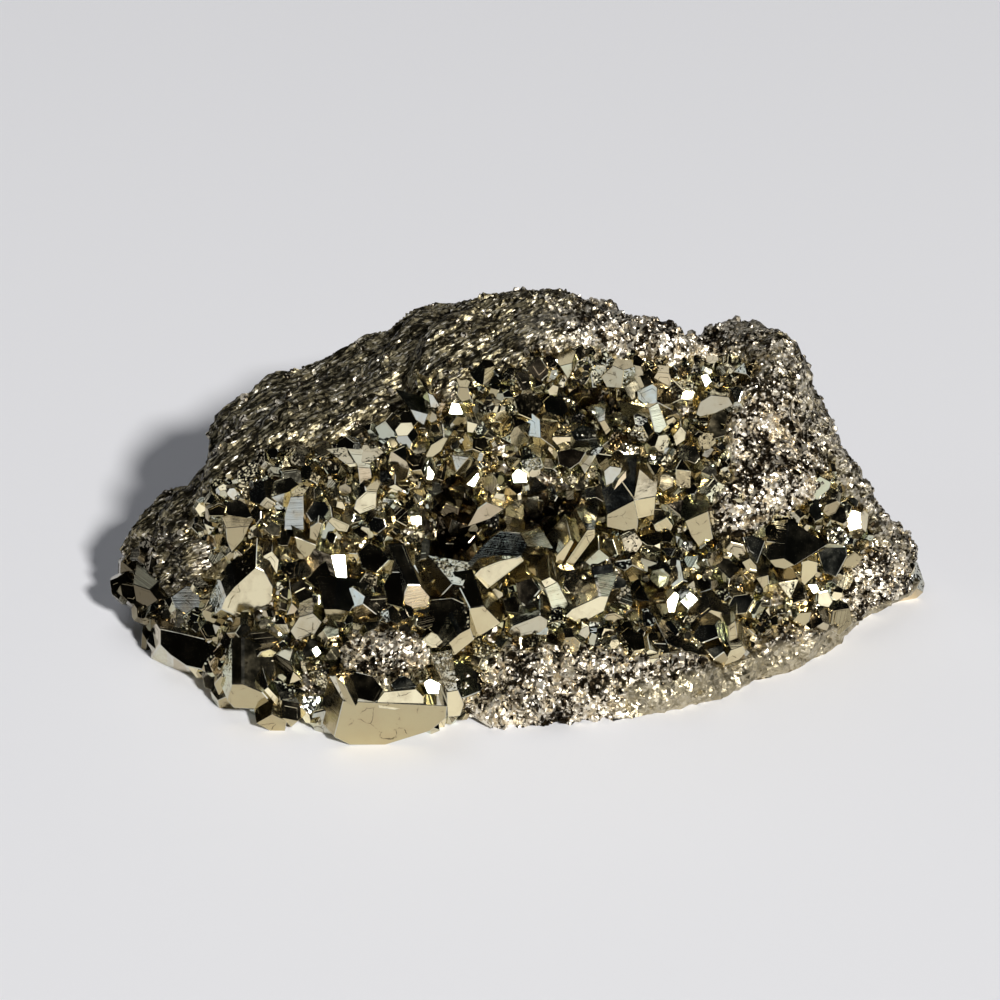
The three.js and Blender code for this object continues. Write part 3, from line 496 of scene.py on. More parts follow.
# Where they are tried: x, how far up from the lip (0) to the brow (1), and how far out of the outline.
STREWN_X = (-52, 51)
STREWN_UP = (-0.22, 1.04)
STREWN_OUT = (-1.6, 0.9)
STREWN_COVER = 0.6  # they grow only where crystals cover the lump at least this fully
# Their own size as a share of the room they take in the solid, low on the face and near the brow, and the
# heights between which it changes.
STREWN_SHARES = (0.82, 0.5)
STREWN_SHARE_UP = (0.3, 0.75)
ABSENT = 2  # marks a kind of face that a habit lacks
# Distances of the cube's, the corners' and the five-sided faces from the middle, as shares of the size.
HABITS = {
    "block": (0.46, 0.56, ABSENT),
    "star": (0.54, 0.44, ABSENT),
    "pentagon": (ABSENT, ABSENT, 0.48),
}
UNEVEN = 0.18
# How near other crystals come to a main face, as a share of their own size: the strewn ones and the smaller
# ones. Behind the face by more than the last share they are free.
STREWN_CLEARANCE = 0.5
SMALL_CLEARANCE = 0.3
BEHIND_FACE = 0.45

FRONT_STEP = 0.42  # the fine skin's mesh
ROW_SAMPLES = 700
UNDERSIDE_STRIPS = 8
# The skin closes at the lump's two ends in smaller and smaller rings that bulge out a little and are rough.
END_RINGS = (0.8, 0.58, 0.34)
END_BULGE = 0.5
END_ROUGHNESS = 0.5
DARKEST_SHADE_DEPTH = 6  # painted shade: the skin is darkest where it lies this deep

# Crystals that only the fine surface has: name, places tried, smallest and largest size, how far the lowest
# and highest tops stand out of the outline, spacing, edge wear and how often their faces have terraces.
SMALL_CRYSTALS = [
    ("filling_crystals", 4000, (3.0, 4.8), (-1.5, 0.5), 0.62, 0.06, 0.2),
    ("between_crystals", 9000, (1.7, 3.0), (-2.0, 0.0), 0.62, 0.05, 0.0),
    ("crystal_grains", 9000, (0.9, 1.7), (-2.6, -0.6), 0.62, 0.0, 0.0),
]
SMALL_SHAPES = 12  # different shapes of each habit
SMALL_STRETCH = (0.82, 1.25)
SMALL_BIAS = 1.4  # the larger, the fewer are of the largest size
SMALL_COVER, SMALL_ROW = 0.4, 0.9  # they grow where crystals cover the lump this fully, from this row up
# painted shade: the small crystals are darkest where the skin lies this much below the crystals' recess
SMALL_DARKEST_DEPTH = 4
# Grains on the broken parts: name, number, smallest and largest size.
BROKEN_GRAINS = ("broken_grains", 4400, (0.5, 1.1))
GRAIN_SHAPES = 8
GRAIN_STRETCH = (0.7, 1.3)
GRAIN_BIAS = 2
GRAIN_LOWEST_ROW = 0.7
GRAINS_ON_SLATY = 0.2  # how thickly they lie there, with 1 on the granular parts
# how much painted shade the grains take, on the scale of the 'deep' value
GRAIN_SHADE = 0.15
LARGE_WEAR, MINOR_WEAR = 0.08, 0.06  # how wide the worn edges of the photo's crystals are
LARGE_TERRACES = 0.3
LEFT_SHADE_START, LEFT_SHADE = (43, 49), 0.75  # painted shade on the crystals towards the left end, which faces away from the key light, by how far left of the middle they lie, and its strength
SEED = 7
MINOR_NUMBERS = 300  # numbers of the photo's smaller crystals start here


def chance(index, kind):
    """A repeatable number from 0 to 1 for each pair of whole numbers."""
    wave = np.sin(np.asarray(index) * 12.9898 + kind * 78.233 + 4.1) * 43758.5453
    return wave - np.floor(wave)


def mix(a, b, share):
    return a + (b - a) * share


def smoothstep(value, low, high):
    t = np.clip((value - low) / (high - low), 0, 1)
    return t * t * (3 - 2 * t)


def smooth_curve(a, b, c, d, t):
    """A smooth curve through four values, between the middle two."""
    return b + 0.5 * t * (c - a + t * (2 * a - 5 * b + 4 * c - d + t * (3 * (b - c) + d - a)))


def section_at(place):
    """The section's values at fractional places."""
    i = np.clip(np.floor(place).astype(int), 0, LAST_PLACE - 1)
    near = [SECTIONS[np.clip(i + k, 0, LAST_PLACE)] for k in (-1, 0, 1, 2)]
    return smooth_curve(*near, (place - i)[:, None])


def outline_point(place, row):
    """Points of the lump's outline: place counts sections, row counts control points from the front."""
    x, toe, brow_y, brow_z, crest_y, crest_z, back, under = section_at(place).T
    ground = np.maximum(under, 0)
    lip_y, lip_z = toe - LIP_HEIGHT / 2, ground + LIP_HEIGHT
    dish = HOLLOW_DEPTH * np.exp(-(((x - HOLLOW_X) / HOLLOW_HALF_WIDTH) ** 2))
    shoulder_y = mix(crest_y, back, CREST_ROUND_ALONG)
    shoulder_z = mix(ground, crest_z, CREST_ROUND_HEIGHT)
    room = (back - toe) * THIN_UNDERCUT
    controls = np.array([
        [lip_y + np.minimum(UNDERCUT, room), under],
        [lip_y, lip_z],
        [mix(lip_y, brow_y, 0.5) + dish, mix(lip_z, brow_z, 0.5) - dish / 2],
        [brow_y, brow_z],
        [crest_y, crest_z],
        [shoulder_y, shoulder_z],
        [back, np.minimum(ground + BACK_LIP_HEIGHT, shoulder_z * THIN_BACK_LIP)],
        [back - np.minimum(BACK_UNDERCUT, room), under],
    ])
    i = np.clip(np.floor(row).astype(int), 0, LAST_ROW - 1)
    each = np.arange(len(place))
    near = [controls[np.clip(i + k, 0, LAST_ROW), :, each] for k in (-1, 0, 1, 2)]
    return np.column_stack([x, smooth_curve(*near, (row - i)[:, None])])


def unit(vectors):
    return vectors / np.linalg.norm(vectors, axis=-1, keepdims=True)


def outward(place, row):
    """The directions that face out of the lump."""
    step = 0.04
    along = outline_point(np.minimum(LAST_PLACE, place + step), row)
    along -= outline_point(np.maximum(0, place - step), row)
    over = outline_point(place, np.minimum(LAST_ROW, row + step))
    over -= outline_point(place, np.maximum(0, row - step))
    return unit(np.cross(along, over))


def crystal_cover(points, row):
    """1 where crystals grow, 0 on the granular and slaty rest, with a soft border."""
    bare = np.min([
        np.linalg.norm((points - np.array(at)) / np.array(half), axis=1) for at, half in BARE_PATCHES
    ], axis=0)
    rim = smoothstep(points[:, 0], *RIM_START) * smoothstep(RIM_ROW + RIM_BORDER - row, 0, RIM_BORDER)
    below_brow = smoothstep(FACE_END + BROW_BORDER - row, 0, BROW_FADE)
    return below_brow * smoothstep(bare, *PATCH_BORDER) * (1 - rim)


def waviness(points):
    return sum(
        height * np.sin(2 * np.pi * (points @ unit(np.array(along))) / length + WAVE_SHIFT * k)
        for k, (height, length, along) in enumerate(WAVES)
    )


def groove_depth(points):
    total = np.zeros(len(points))
    for start, end, width, depth in GROOVES:
        start, line = np.array(start), np.array(end) - np.array(start)
        share = np.clip((points - start) @ line / (line @ line), 0, 1)
        distance = np.linalg.norm(points - start - share[:, None] * line, axis=1)
        total += depth * np.exp(-((distance / width) ** 2))
    return total


def vug_depth(points):
    return sum(
        depth * np.exp(-((np.linalg.norm(points - np.array(at), axis=1) / width) ** 2))
        for at, width, depth in VUGS
    )


def place_of(x):
    """The places among the sections where the lump reaches x."""
    low, high = np.zeros(len(x)), np.full(len(x), float(LAST_PLACE))
    for _ in range(HALVINGS):
        middle = (low + high) / 2
        short = section_at(middle)[:, 0] < x
        low, high = np.where(short, middle, low), np.where(short, high, middle)
    return (low + high) / 2


# Noise

# Seeds of the patterns.
SEEDS = {"diagonals": 3, "ledges": 7, "waver": 11, "zones": 40, "swell": 61, "ends": 71}
CELL_PRIMES = (73856093, 19349663, 83492791)
KIND_PRIME = 2654435761
SHUFFLES = ((13, 1274126177), (15, 668265263))
LAST_SHIFT = 11
LARGEST = 0x7FFFFFFF


def lattice(cells, kind):
    """A repeatable number from 0 to 1 for each cell of a grid."""
    i, j, k = (cells[..., axis].astype(np.int64) * prime for axis, prime in enumerate(CELL_PRIMES))
    mixed = i ^ j ^ k ^ (kind * KIND_PRIME)
    for shift, prime in SHUFFLES:
        mixed = ((mixed ^ (mixed >> shift)) * prime) & LARGEST
    return (mixed ^ (mixed >> LAST_SHIFT)) / LARGEST


def soft_noise(points, kind):
    """Smooth noise from -1 to 1 with features about one unit wide."""
    cell = np.floor(points)
    t = points - cell
    t = t * t * (3 - 2 * t)
    total = np.zeros(len(points))
    for corner in itertools.product((0, 1), repeat=3):
        weight = np.prod(np.where(corner, t, 1 - t), axis=1)
        total += weight * lattice(cell + np.array(corner), kind)
    return 2 * total - 1


def layered_noise(points, kind, layers=3):
    """Noise in layers, each about half as wide and as strong as the one before it."""
    return sum(soft_noise(points * 2.03**k, kind + k) / 2**k for k in range(layers))


def broken_facets(points, kind):
    """Heights of small tilted facets, one to each irregular cell about one unit wide."""
    cell = np.floor(points)
    nearest = np.full(len(points), np.inf)
    height = np.zeros(len(points))
    for step in itertools.product((-1, 0, 1), repeat=3):
        other = cell + np.array(step)
        draws = [lattice(other, kind + k) for k in range(7)]
        away = points - other - np.stack(draws[:3], axis=1)
        distance = np.linalg.norm(away, axis=1)
        tilt = np.stack(draws[3:6], axis=1) * 2 - 1
        closer = distance < nearest
        nearest = np.where(closer, distance, nearest)
        height = np.where(closer, draws[6] - 0.5 + np.einsum("ij,ij->i", tilt, away), height)
    return height


# The lump's fine skin

STREAK = unit(np.array([0.84, 0.34, 0.42]))  # the slaty part's streaks run this way
STREAK_ACROSS = unit(np.cross(STREAK, (0.0, -0.5, 0.86)))
SHEET_SIZES = (8, 1.1, 1.9)  # how long, wide and thick the slaty sheets are
LEDGE_WAVER, LEDGE_WAVER_WIDTH = 0.5, 2.8
SWELL_WIDTH = 2.2
# Broken facets: how wide they are and the seed of their pattern.
FACETS = {"chips": (1.15, 21), "knobs": (2.1, 26), "lumps": (3.6, 31), "seams": (1.6, 51)}
# How far the small forms stand out on each kind of surface.
SLATY_RELIEF = {"ledges": 0.62, "chips": 0.20}
GRANULAR_RELIEF = {"chips": 0.40, "knobs": 0.60, "lumps": 0.90}
SMOOTH_RELIEF = {"swell": 0.26, "chips": 0.22, "knobs": 0.22}
SEAM_RELIEF = 0.45

# Where the skin is slaty, by x, by row and by patches of noise that make the borders wander.
PATCH_WIDTH = 11
TOP_START, TOP_FADE = 0.1, 0.4
SLATY_END, SLATY_FADE, SLATY_WANDER = 14, 14, 6
SLATY_BACK_END, SLATY_BACK_FADE = 6.2, 1.2
BACK_PATCHES, BACK_ROWS, BACK_SLATY = (0.1, 0.5), (4.4, 5.2), 0.8
KNOB_START, KNOB_SLATY = (24, 29), 0.6
LEFT_START, LEFT_FADE, LEFT_ROWS = -38, 5, (1.2, 1.6)
RIM_LIFT, RIM_WANDER, RIM_FOOT = 0.08, 0.06, 0.4


def skin_zones(points, row, cover):
    """How slaty, granular and smooth each point of the skin is."""
    x = points[:, 0]
    top = 1 - smoothstep(FACE_END + TOP_START - row, 0, TOP_FADE)
    patches = layered_noise(points / PATCH_WIDTH, SEEDS["zones"], 2)
    slaty = top * smoothstep(SLATY_END - x + SLATY_WANDER * patches, 0, SLATY_FADE)
    slaty *= smoothstep(SLATY_BACK_END - row, 0, SLATY_BACK_FADE)
    back = top * smoothstep(patches, *BACK_PATCHES) * smoothstep(row, *BACK_ROWS) * BACK_SLATY
    knob = top * smoothstep(x, *KNOB_START) * KNOB_SLATY
    left_end = smoothstep(LEFT_START - x, 0, LEFT_FADE) * (1 - cover) * smoothstep(row, *LEFT_ROWS)
    slaty = np.max([slaty, back, knob, left_end], axis=0)
    rim = smoothstep(RIM_ROW + RIM_LIFT + RIM_WANDER * patches - row, 0, RIM_BORDER)
    rim *= smoothstep(x, *RIM_START)
    rim *= smoothstep(row, 0, RIM_FOOT)
    smooth = rim * (1 - cover)
    granular = (1 - cover) * (1 - slaty) * (1 - smooth)
    return slaty, granular, smooth


def fine_relief(points, slaty, granular, smooth, cover):
    """Heights of the small ledges, grains and chips."""
    axes = (STREAK, STREAK_ACROSS, np.cross(STREAK, STREAK_ACROSS))
    sheets = np.column_stack([points @ axis for axis in axes]) / SHEET_SIZES
    forms = {name: broken_facets(points / width, seed) for name, (width, seed) in FACETS.items()}
    forms["swell"] = layered_noise(points / SWELL_WIDTH, SEEDS["swell"])
    forms["ledges"] = 1 - 2 * abs(layered_noise(sheets, SEEDS["ledges"]))
    forms["ledges"] += LEDGE_WAVER * layered_noise(points / LEDGE_WAVER_WIDTH, SEEDS["waver"], 2)

    def relief(heights):
        return sum(height * forms[name] for name, height in heights.items())

    return (
        slaty * relief(SLATY_RELIEF) + granular * relief(GRANULAR_RELIEF) + smooth * relief(SMOOTH_RELIEF)
        + cover * SEAM_RELIEF * forms["seams"]
    )


def even_rows(step):
    """Rows over the top of the lump that lie about step millimetres apart on a middle section."""
    rows = np.linspace(0, LAST_ROW, ROW_SAMPLES)
    line = outline_point(np.full(len(rows), LAST_PLACE / 2), rows)
    run = np.concatenate([[0], np.cumsum(np.linalg.norm(np.diff(line, axis=0), axis=1))])
    return np.interp(np.linspace(0, run[-1], int(run[-1] / step)), run, rows)


def lump_skin():
    """The fine skin as a grid of points: columns from end to end, rows over the top."""
    x = np.arange(SECTIONS[0, 0], SECTIONS[-1, 0], FRONT_STEP)
    rows = even_rows(FRONT_STEP)
    place, row = (a.ravel() for a in np.meshgrid(place_of(x), rows, indexing="ij"))
    outline = outline_point(place, row)
    away = outward(place, row)
    cover = crystal_cover(outline, row)
    zones = skin_zones(outline, row, cover)
    sunk = groove_depth(outline) + vug_depth(outline) + CRYSTAL_RECESS * cover
    height = waviness(outline) - sunk + fine_relief(outline, *zones, cover)
    points = outline + away * height[:, None]
    points[:, 2] = np.maximum(points[:, 2], 0)
    return {
        "points": points, "outline": outline, "away": away, "cover": cover, "row": row, "zones": zones,
        "sunk": sunk, "columns": len(x), "rows": len(rows),
    }


def grid_faces(columns, rows):
    """Corner numbers of the triangles of a grid whose rows close round each column."""
    i, j = np.meshgrid(np.arange(columns - 1), np.arange(rows), indexing="ij")
    a, b = i * rows + j, (i + 1) * rows + j
    c, d = (i + 1) * rows + (j + 1) % rows, i * rows + (j + 1) % rows
    turned = (lattice(np.stack([i, j, 0 * i], axis=-1), SEEDS["diagonals"]) < 0.5)[..., None]
    first = np.where(turned, np.stack([a, b, d], -1), np.stack([a, b, c], -1))
    second = np.where(turned, np.stack([b, c, d], -1), np.stack([a, c, d], -1))
    return np.concatenate([first.reshape(-1, 3), second.reshape(-1, 3)])


def under_strips(skin):
    """Points across the underside that close each column from its rear end to its front end."""
    grid = skin["points"].reshape(skin["columns"], skin["rows"], 3)
    shares = np.arange(1, UNDERSIDE_STRIPS) / UNDERSIDE_STRIPS
    front, rear = grid[:, :1], grid[:, -1:]
    return mix(rear, front, shares[None, :, None])


def end_rings(ring, side):
    """Rings that close in on one end of the lump, as rough as its skin."""
    hub = ring.mean(axis=0)
    rings = []
    for share in END_RINGS:
        points = hub + (ring - hub) * share
        chips = broken_facets(points / FACETS["chips"][0], SEEDS["ends"])
        points[:, 0] += side * (END_BULGE * (1 - share**2) + END_ROUGHNESS * chips)
        rings.append(points)
    return rings


def massive_skin(skin):
    """The lump itself: the fine skin, closed underneath and at both ends."""
    strips = under_strips(skin)
    grid = np.concatenate([skin["points"].reshape(skin["columns"], -1, 3), strips], axis=1)
    grid = np.concatenate([end_rings(grid[0], -1)[::-1], grid, end_rings(grid[-1], 1)])
    columns, rows = grid.shape[:2]
    faces = grid_faces(columns, rows)
    hubs = grid[[0, -1]].mean(axis=1)
    points = np.concatenate([grid.reshape(-1, 3), hubs])
    ring = np.arange(rows)
    nxt = (ring + 1) % rows
    hub = columns * rows
    last = (columns - 1) * rows
    left = np.column_stack([np.full(rows, hub), ring, nxt])
    right = np.column_stack([np.full(rows, hub + 1), last + nxt, last + ring])
    faces = np.concatenate([faces, left, right])
    plain = np.zeros((skin["columns"], UNDERSIDE_STRIPS - 1))

    def spread(values):
        """A value for every point of the closed mesh, with none on the underside."""
        inner = np.concatenate([values.reshape(skin["columns"], -1), plain], axis=1)
        inner = np.pad(inner, ((len(END_RINGS), len(END_RINGS)), (0, 0)), mode="edge")
        return np.concatenate([inner.ravel(), [0, 0]])

    slaty, granular, smooth = skin["zones"]
    # painted shade: 'deep' darkens the skin where it lies sunk in grooves, hollows and among the crystals
    masks = {
        "slaty": spread(slaty),
        "granular": spread(granular),
        "smooth": spread(smooth),
        "deep": spread(skin["sunk"] / DARKEST_SHADE_DEPTH),
    }
    return mesh_piece("massive_skin", points, faces.ravel(), np.full(len(faces), 3), masks, {}, {})


def mesh_piece(name, points, loops, counts, point_values, face_values, corner_values):
    """One mesh in metres, with named values on its points, faces and face corners."""
    mesh = bpy.data.meshes.new(name)
    mesh.vertices.add(len(points))
    mesh.vertices.foreach_set("co", (points * MM).ravel())
    mesh.loops.add(len(loops))
    mesh.loops.foreach_set("vertex_index", loops.astype(np.int32))
    mesh.polygons.add(len(counts))
    starts = np.concatenate([[0], np.cumsum(counts)[:-1]])
    mesh.polygons.foreach_set("loop_start", starts.astype(np.int32))
    mesh.polygons.foreach_set("loop_total", counts.astype(np.int32))
    mesh.update(calc_edges=True)
    mesh.shade_flat()
    for domain, values in (("POINT", point_values), ("FACE", face_values), ("CORNER", corner_values)):
        for key, numbers in values.items():
            layer = mesh.attributes.new(key, "FLOAT", domain)
            layer.data.foreach_set("value", np.asarray(numbers, np.float32))
    piece = bpy.data.objects.new(name, mesh)
    bpy.context.scene.collection.objects.link(piece)
    return piece


# Crystals

ENDS = (-1, 1)
CUBE_FACES = [f for s in ENDS for f in ((s, 0, 0), (0, s, 0), (0, 0, s))]
CORNER_FACES = list(itertools.product(ENDS, repeat=3))
PENTAGON_FACES = [f for a in ENDS for b in ENDS for f in ((a, 2 * b, 0), (0, a, 2 * b), (2 * b, 0, a))]
KINDS = [unit(np.array(faces, float)) for faces in (CUBE_FACES, CORNER_FACES, PENTAGON_FACES)]

NEARLY_PARALLEL = 1e-3  # planes closer to parallel than this make no corner
OUTSIDE_PLANE = 1e-6  # a corner this little outside a plane is still within it
SAME_CORNER = 1e-3  # corners this close are one
ON_PLANE = 2e-3  # a corner this close to a plane belongs to its face
SKEW = (0.31, 0.73, 0.61)  # lies along no plane of a crystal
SHORTEST_WORN = 4  # edges shorter than this many times the wear stay sharp
EDGE_LOOK = (0.9, 0.0, 0.4)  # tone, ribs and etching of worn edges
# How much of the usual etching the photo's crystals have, and how much of that their main faces have.
PHOTO_ETCHING, MAIN_ETCHING = 0.75, 0.6
RIB_AXES = ((0.93, 0.1, 0.3), (0.3, 0.2, 0.93))
FACE_DRAWS = 9  # chances that each face of a crystal draws
# Growth terraces, as shares of the face and of the crystal's size.
TERRACE_SIDE = (0.15, 0.85)
TERRACE_SHIFT = 0.8
TERRACE_MARGIN = (0.55, 0.93)
TERRACE_HEIGHT = (0.006, 0.022)
TERRACE_SLOPE = 0.035
SUNKEN_TERRACES = 0.4


def crystal_faces(habit, number):
    """The planes of one crystal of size 1: directions and distances."""
    normals, distances = [], []
    for kind, (faces, distance) in enumerate(zip(KINDS, HABITS[habit])):
        if distance == ABSENT:
            continue
        drawn = chance(number, 20 + 30 * kind + np.arange(len(faces)))
        normals.append(faces)
        distances.append(distance * (1 + UNEVEN * (2 * drawn - 1)))
    return np.concatenate(normals), np.concatenate(distances)


@functools.cache
def trios(count):
    """Every choice of three out of a number of planes."""
    return np.array(list(itertools.combinations(range(count), 3))).T


def enclosed(normals, distances):
    """Corners of the convex solid that planes enclose, and each plane's corners in anticlockwise order."""
    a, b, c = trios(len(normals))
    across = np.cross(normals[a], normals[b])
    volume = np.einsum("ij,ij->i", across, normals[c])
    firm = abs(volume) > NEARLY_PARALLEL
    a, b, c, across, volume = a[firm], b[firm], c[firm], across[firm], volume[firm]
    points = across * distances[c][:, None]
    points += np.cross(normals[b], normals[c]) * distances[a][:, None]
    points += np.cross(normals[c], normals[a]) * distances[b][:, None]
    points /= volume[:, None]
    points = points[(points @ normals.T < distances + OUTSIDE_PLANE).all(axis=1)]
    gaps = np.linalg.norm(points[:, None] - points[None], axis=2) < SAME_CORNER
    corners = points[[not gaps[k, :k].any() for k in range(len(points))]]
    faces = []
    for normal, distance in zip(normals, distances):
        on = np.flatnonzero(abs(corners @ normal - distance) < ON_PLANE)
        if len(on) < 3:
            faces.append(None)
            continue
        side = unit(np.cross(normal, SKEW))
        up = np.cross(normal, side)
        spread = corners[on] - corners[on].mean(axis=0)
        faces.append(on[np.argsort(np.arctan2(spread @ up, spread @ side))])
    return corners, faces


def with_worn_edges(normals, distances, width):
    """Adds a narrow plane along each edge, so that edges catch the light."""
    corners, faces = enclosed(normals, distances)
    more_normals, more_distances = [], []
    for i, j in itertools.combinations(range(len(normals)), 2):
        if faces[i] is None or faces[j] is None:
            continue
        shared = np.intersect1d(faces[i], faces[j])
        if len(shared) != 2:
            continue
        if np.linalg.norm(corners[shared[0]] - corners[shared[1]]) < SHORTEST_WORN * width:
            continue
        normal = unit(normals[i] + normals[j])
        more_normals.append(normal)
        more_distances.append(corners[shared[0]] @ normal - width / 2)
    if not more_normals:
        return normals, distances
    return np.concatenate([normals, more_normals]), np.concatenate([distances, more_distances])


def crystal_shape(plain_normals, plain_distances, number, edge_width, terraces, first_face=(None, None)):
    """One crystal: corners, the faces' corner numbers, and for each face its tone, ribs and direction."""
    normals, distances = plain_normals, plain_distances
    if edge_width:
        normals, distances = with_worn_edges(normals, distances, edge_width)
    corners, faces = enclosed(normals, distances)
    corners = list(corners)
    shape = {"loops": [], "counts": [], "tone": [], "ribbed": [], "etched": [], "stripe": []}
    for k, (normal, face) in enumerate(zip(normals, faces)):
        if face is None:
            continue
        main = k < len(plain_normals)
        draw = chance(number, 200 + FACE_DRAWS * k + np.arange(FACE_DRAWS))
        rim = list(face)
        polygons = []
        if main and terraces:
            for level in range(1 + int(draw[0] * 2)):
                if draw[1 + level] > terraces:
                    break
                rim, rings = terrace(corners, rim, normal, draw[3:] if level else draw[2:])
                polygons += rings
        polygons.append(rim)
        ribs = unit(np.cross(normal, RIB_AXES[k % 2]))
        tone, ribbed, etched = (draw[7], draw[8], draw[6]) if main else EDGE_LOOK
        if first_face[0] is not None:
            etched *= PHOTO_ETCHING
        if k == 0 and first_face[0] is not None:
            tone, ribbed = first_face
            etched *= MAIN_ETCHING
        for polygon in polygons:
            shape["loops"] += polygon
            shape["counts"].append(len(polygon))
            shape["tone"].append(tone)
            shape["ribbed"].append(ribbed)
            shape["etched"].append(etched)
            shape["stripe"] += [float(corners[v] @ ribs) for v in polygon]
    shape = {key: np.array(value) for key, value in shape.items()}
    shape["points"] = np.array(corners)
    return shape


def terrace(corners, rim, normal, draw):
    """Steps a face up or down inside its rim, as growth layers do."""
    ring = np.array([corners[v] for v in rim])
    share = mix(*TERRACE_SIDE, draw[0])
    side = int(draw[3] * 97) % len(ring)
    towards = mix(ring.mean(axis=0), mix(ring[side], ring[side - 1], share), TERRACE_SHIFT)
    margin = mix(*TERRACE_MARGIN, draw[1])
    lift = mix(*TERRACE_HEIGHT, draw[2]) * (1 if draw[3] > SUNKEN_TERRACES else -1)
    outer = towards + (ring - towards) * margin
    inner = towards + (ring - towards) * (margin - TERRACE_SLOPE) + normal * lift
    first = len(corners)
    count = len(rim)
    corners.extend(outer)
    corners.extend(inner)
    rings = []
    for k in range(count):
        n = (k + 1) % count
        rings.append([rim[k], rim[n], first + n, first + k])
        rings.append([first + k, first + n, first + count + n, first + count + k])
    return [first + count + k for k in range(count)], rings


def direction_of(right, up):
    """The direction that points so many degrees right and up from straight ahead."""
    r, u = math.radians(right), math.radians(up)
    return Vector((math.sin(r) * math.cos(u), -math.cos(r) * math.cos(u), math.sin(u)))


def any_turn(number):
    """A random turn that favours no direction."""
    a, b, c = (float(chance(number, kind)) for kind in (11, 12, 13))
    r, s = math.sqrt(1 - a), math.sqrt(a)
    p, q = 2 * math.pi * b, 2 * math.pi * c
    w, x, y, z = s * math.cos(q), r * math.sin(p), r * math.cos(p), s * math.sin(q)
    return np.array(Quaternion((w, x, y, z)).to_matrix())


def seats(x, up):
    """Points of the crystals' outline, the directions out of it, and how fully crystals cover it."""
    place = place_of(x)
    row = 1 + (FACE_END - 1) * up
    surface = outline_point(place, row)
    return surface, outward(place, row), crystal_cover(surface, row)


def picture_of(points):
    """Where the photo's frame shows points (mm), and how far ahead of the camera they are."""
    offset = points - EYE
    ahead = offset @ AHEAD
    slope = np.stack([offset[:, 0], -(offset @ UPWARDS)], axis=-1) / ahead[:, None]
    return PICTURE_MIDDLE + slope * PICTURE_SCALE, ahead


# The search for the place behind a pixel: the rows it goes through, and how many rounds it takes.
SIGHT_FROM, SIGHT_TO, SIGHT_STEP = 0.5, 3.7, 0.02
SIGHT_ROUNDS = 8


def seat_behind(across, down):
    """Where a line of sight first meets the crystals' outline from the ground up, and the way out."""
    rows = np.arange(SIGHT_FROM, SIGHT_TO, SIGHT_STEP)
    x = 0.0
    for _ in range(SIGHT_ROUNDS):
        seen, ahead = picture_of(outline_point(place_of(np.full(len(rows), x)), rows))
        above = int(np.argmax(seen[:, 1] <= down)) or 1
        share = (seen[above - 1, 1] - down) / (seen[above - 1, 1] - seen[above, 1])
        row = rows[above] + (share - 1) * SIGHT_STEP
        x += (across - mix(seen[above - 1, 0], seen[above, 0], share)) * ahead[above] / PICTURE_SCALE
    place, row = place_of(np.array([x])), np.array([row])
    return outline_point(place, row)[0], outward(place, row)[0]


def face_ring(corners, front, turn):
    """A face's corners in its own plane, anticlockwise, where the lines of sight meet that plane."""
    slope = (corners - PICTURE_MIDDLE) / PICTURE_SCALE
    sight = AHEAD + slope[:, :1] * np.array([1, 0, 0]) - slope[:, 1:] * UPWARDS
    reach = (front - EYE) @ turn[:, 2] / (sight @ turn[:, 2])
    ring = ((EYE + sight * reach[:, None] - front) @ turn)[:, :2]
    after = np.roll(ring, -1, axis=0)
    return ring[::-1] if (ring[:, 0] * after[:, 1] - ring[:, 1] * after[:, 0]).sum() < 0 else ring


def side_leans(outwards, lean, leans):
    """The sides' leans: the one given for the way that a side faces, or else the common one."""
    result = []
    for angle in np.degrees(np.arctan2(outwards[:, 1], outwards[:, 0])):
        gaps = {facing: abs((angle - FACINGS[facing] + 180) % 360 - 180) for facing in leans}
        nearest = min(gaps, key=gaps.get, default=None)
        result.append(leans[nearest] if nearest and gaps[nearest] < FACING_SPREAD else lean)
    return np.radians(result)


def face_crystal(number, corners, points, out, depth=4, lean=74, leans=(), tone=0.3, ribbed=0):
    """A crystal that is given by its main face. Its own axes are right, up and out of that face."""
    corners = np.array(corners, float)
    surface, away = seat_behind(*corners.mean(axis=0))
    front = surface + away * out
    main = direction_of(*points)
    right = Vector((-main[1], main[0], 0)).normalized()
    turn = np.array([right, main.cross(right), main]).T
    ring = face_ring(corners, front, turn)
    along = unit(np.roll(ring, -1, axis=0) - ring)
    outwards = np.column_stack([along[:, 1], -along[:, 0]])
    angles = side_leans(outwards, lean, leans)
    sides = np.column_stack([outwards * np.sin(angles)[:, None], np.cos(angles)])
    normals = np.concatenate([[(0, 0, 1)], sides, [(0, 0, -1)]])
    distances = np.concatenate([[0], (sides[:, :2] * ring).sum(axis=1), [max(depth, out + ROOT)]])
    size = math.sqrt(np.prod(np.ptp(ring, axis=0)))
    return {
        "ring": ring, "outwards": outwards, "centre": front, "size": size, "scale": np.ones(3),
        "middle": front - np.array(main) * size / 2, "planes": (normals, distances),
        "tone": tone, "ribbed": ribbed, "number": number, "turn": turn,
    }


def over_face(crystal, centres, sizes, clearance):
    """True where other crystals would stand in front of a crystal's main face."""
    local = (centres - crystal["centre"]) @ crystal["turn"]
    sides = zip(crystal["ring"], crystal["outwards"])
    beyond = np.max([(local[:, :2] - corner) @ side for corner, side in sides], axis=0)
    return (beyond < clearance * sizes) & (local[:, 2] > -BEHIND_FACE * sizes)


def face_crystals(faces, first_number):
    """The photo's crystals, numbered in their order."""
    return [face_crystal(first_number + k, **face) for k, face in enumerate(faces.values())]


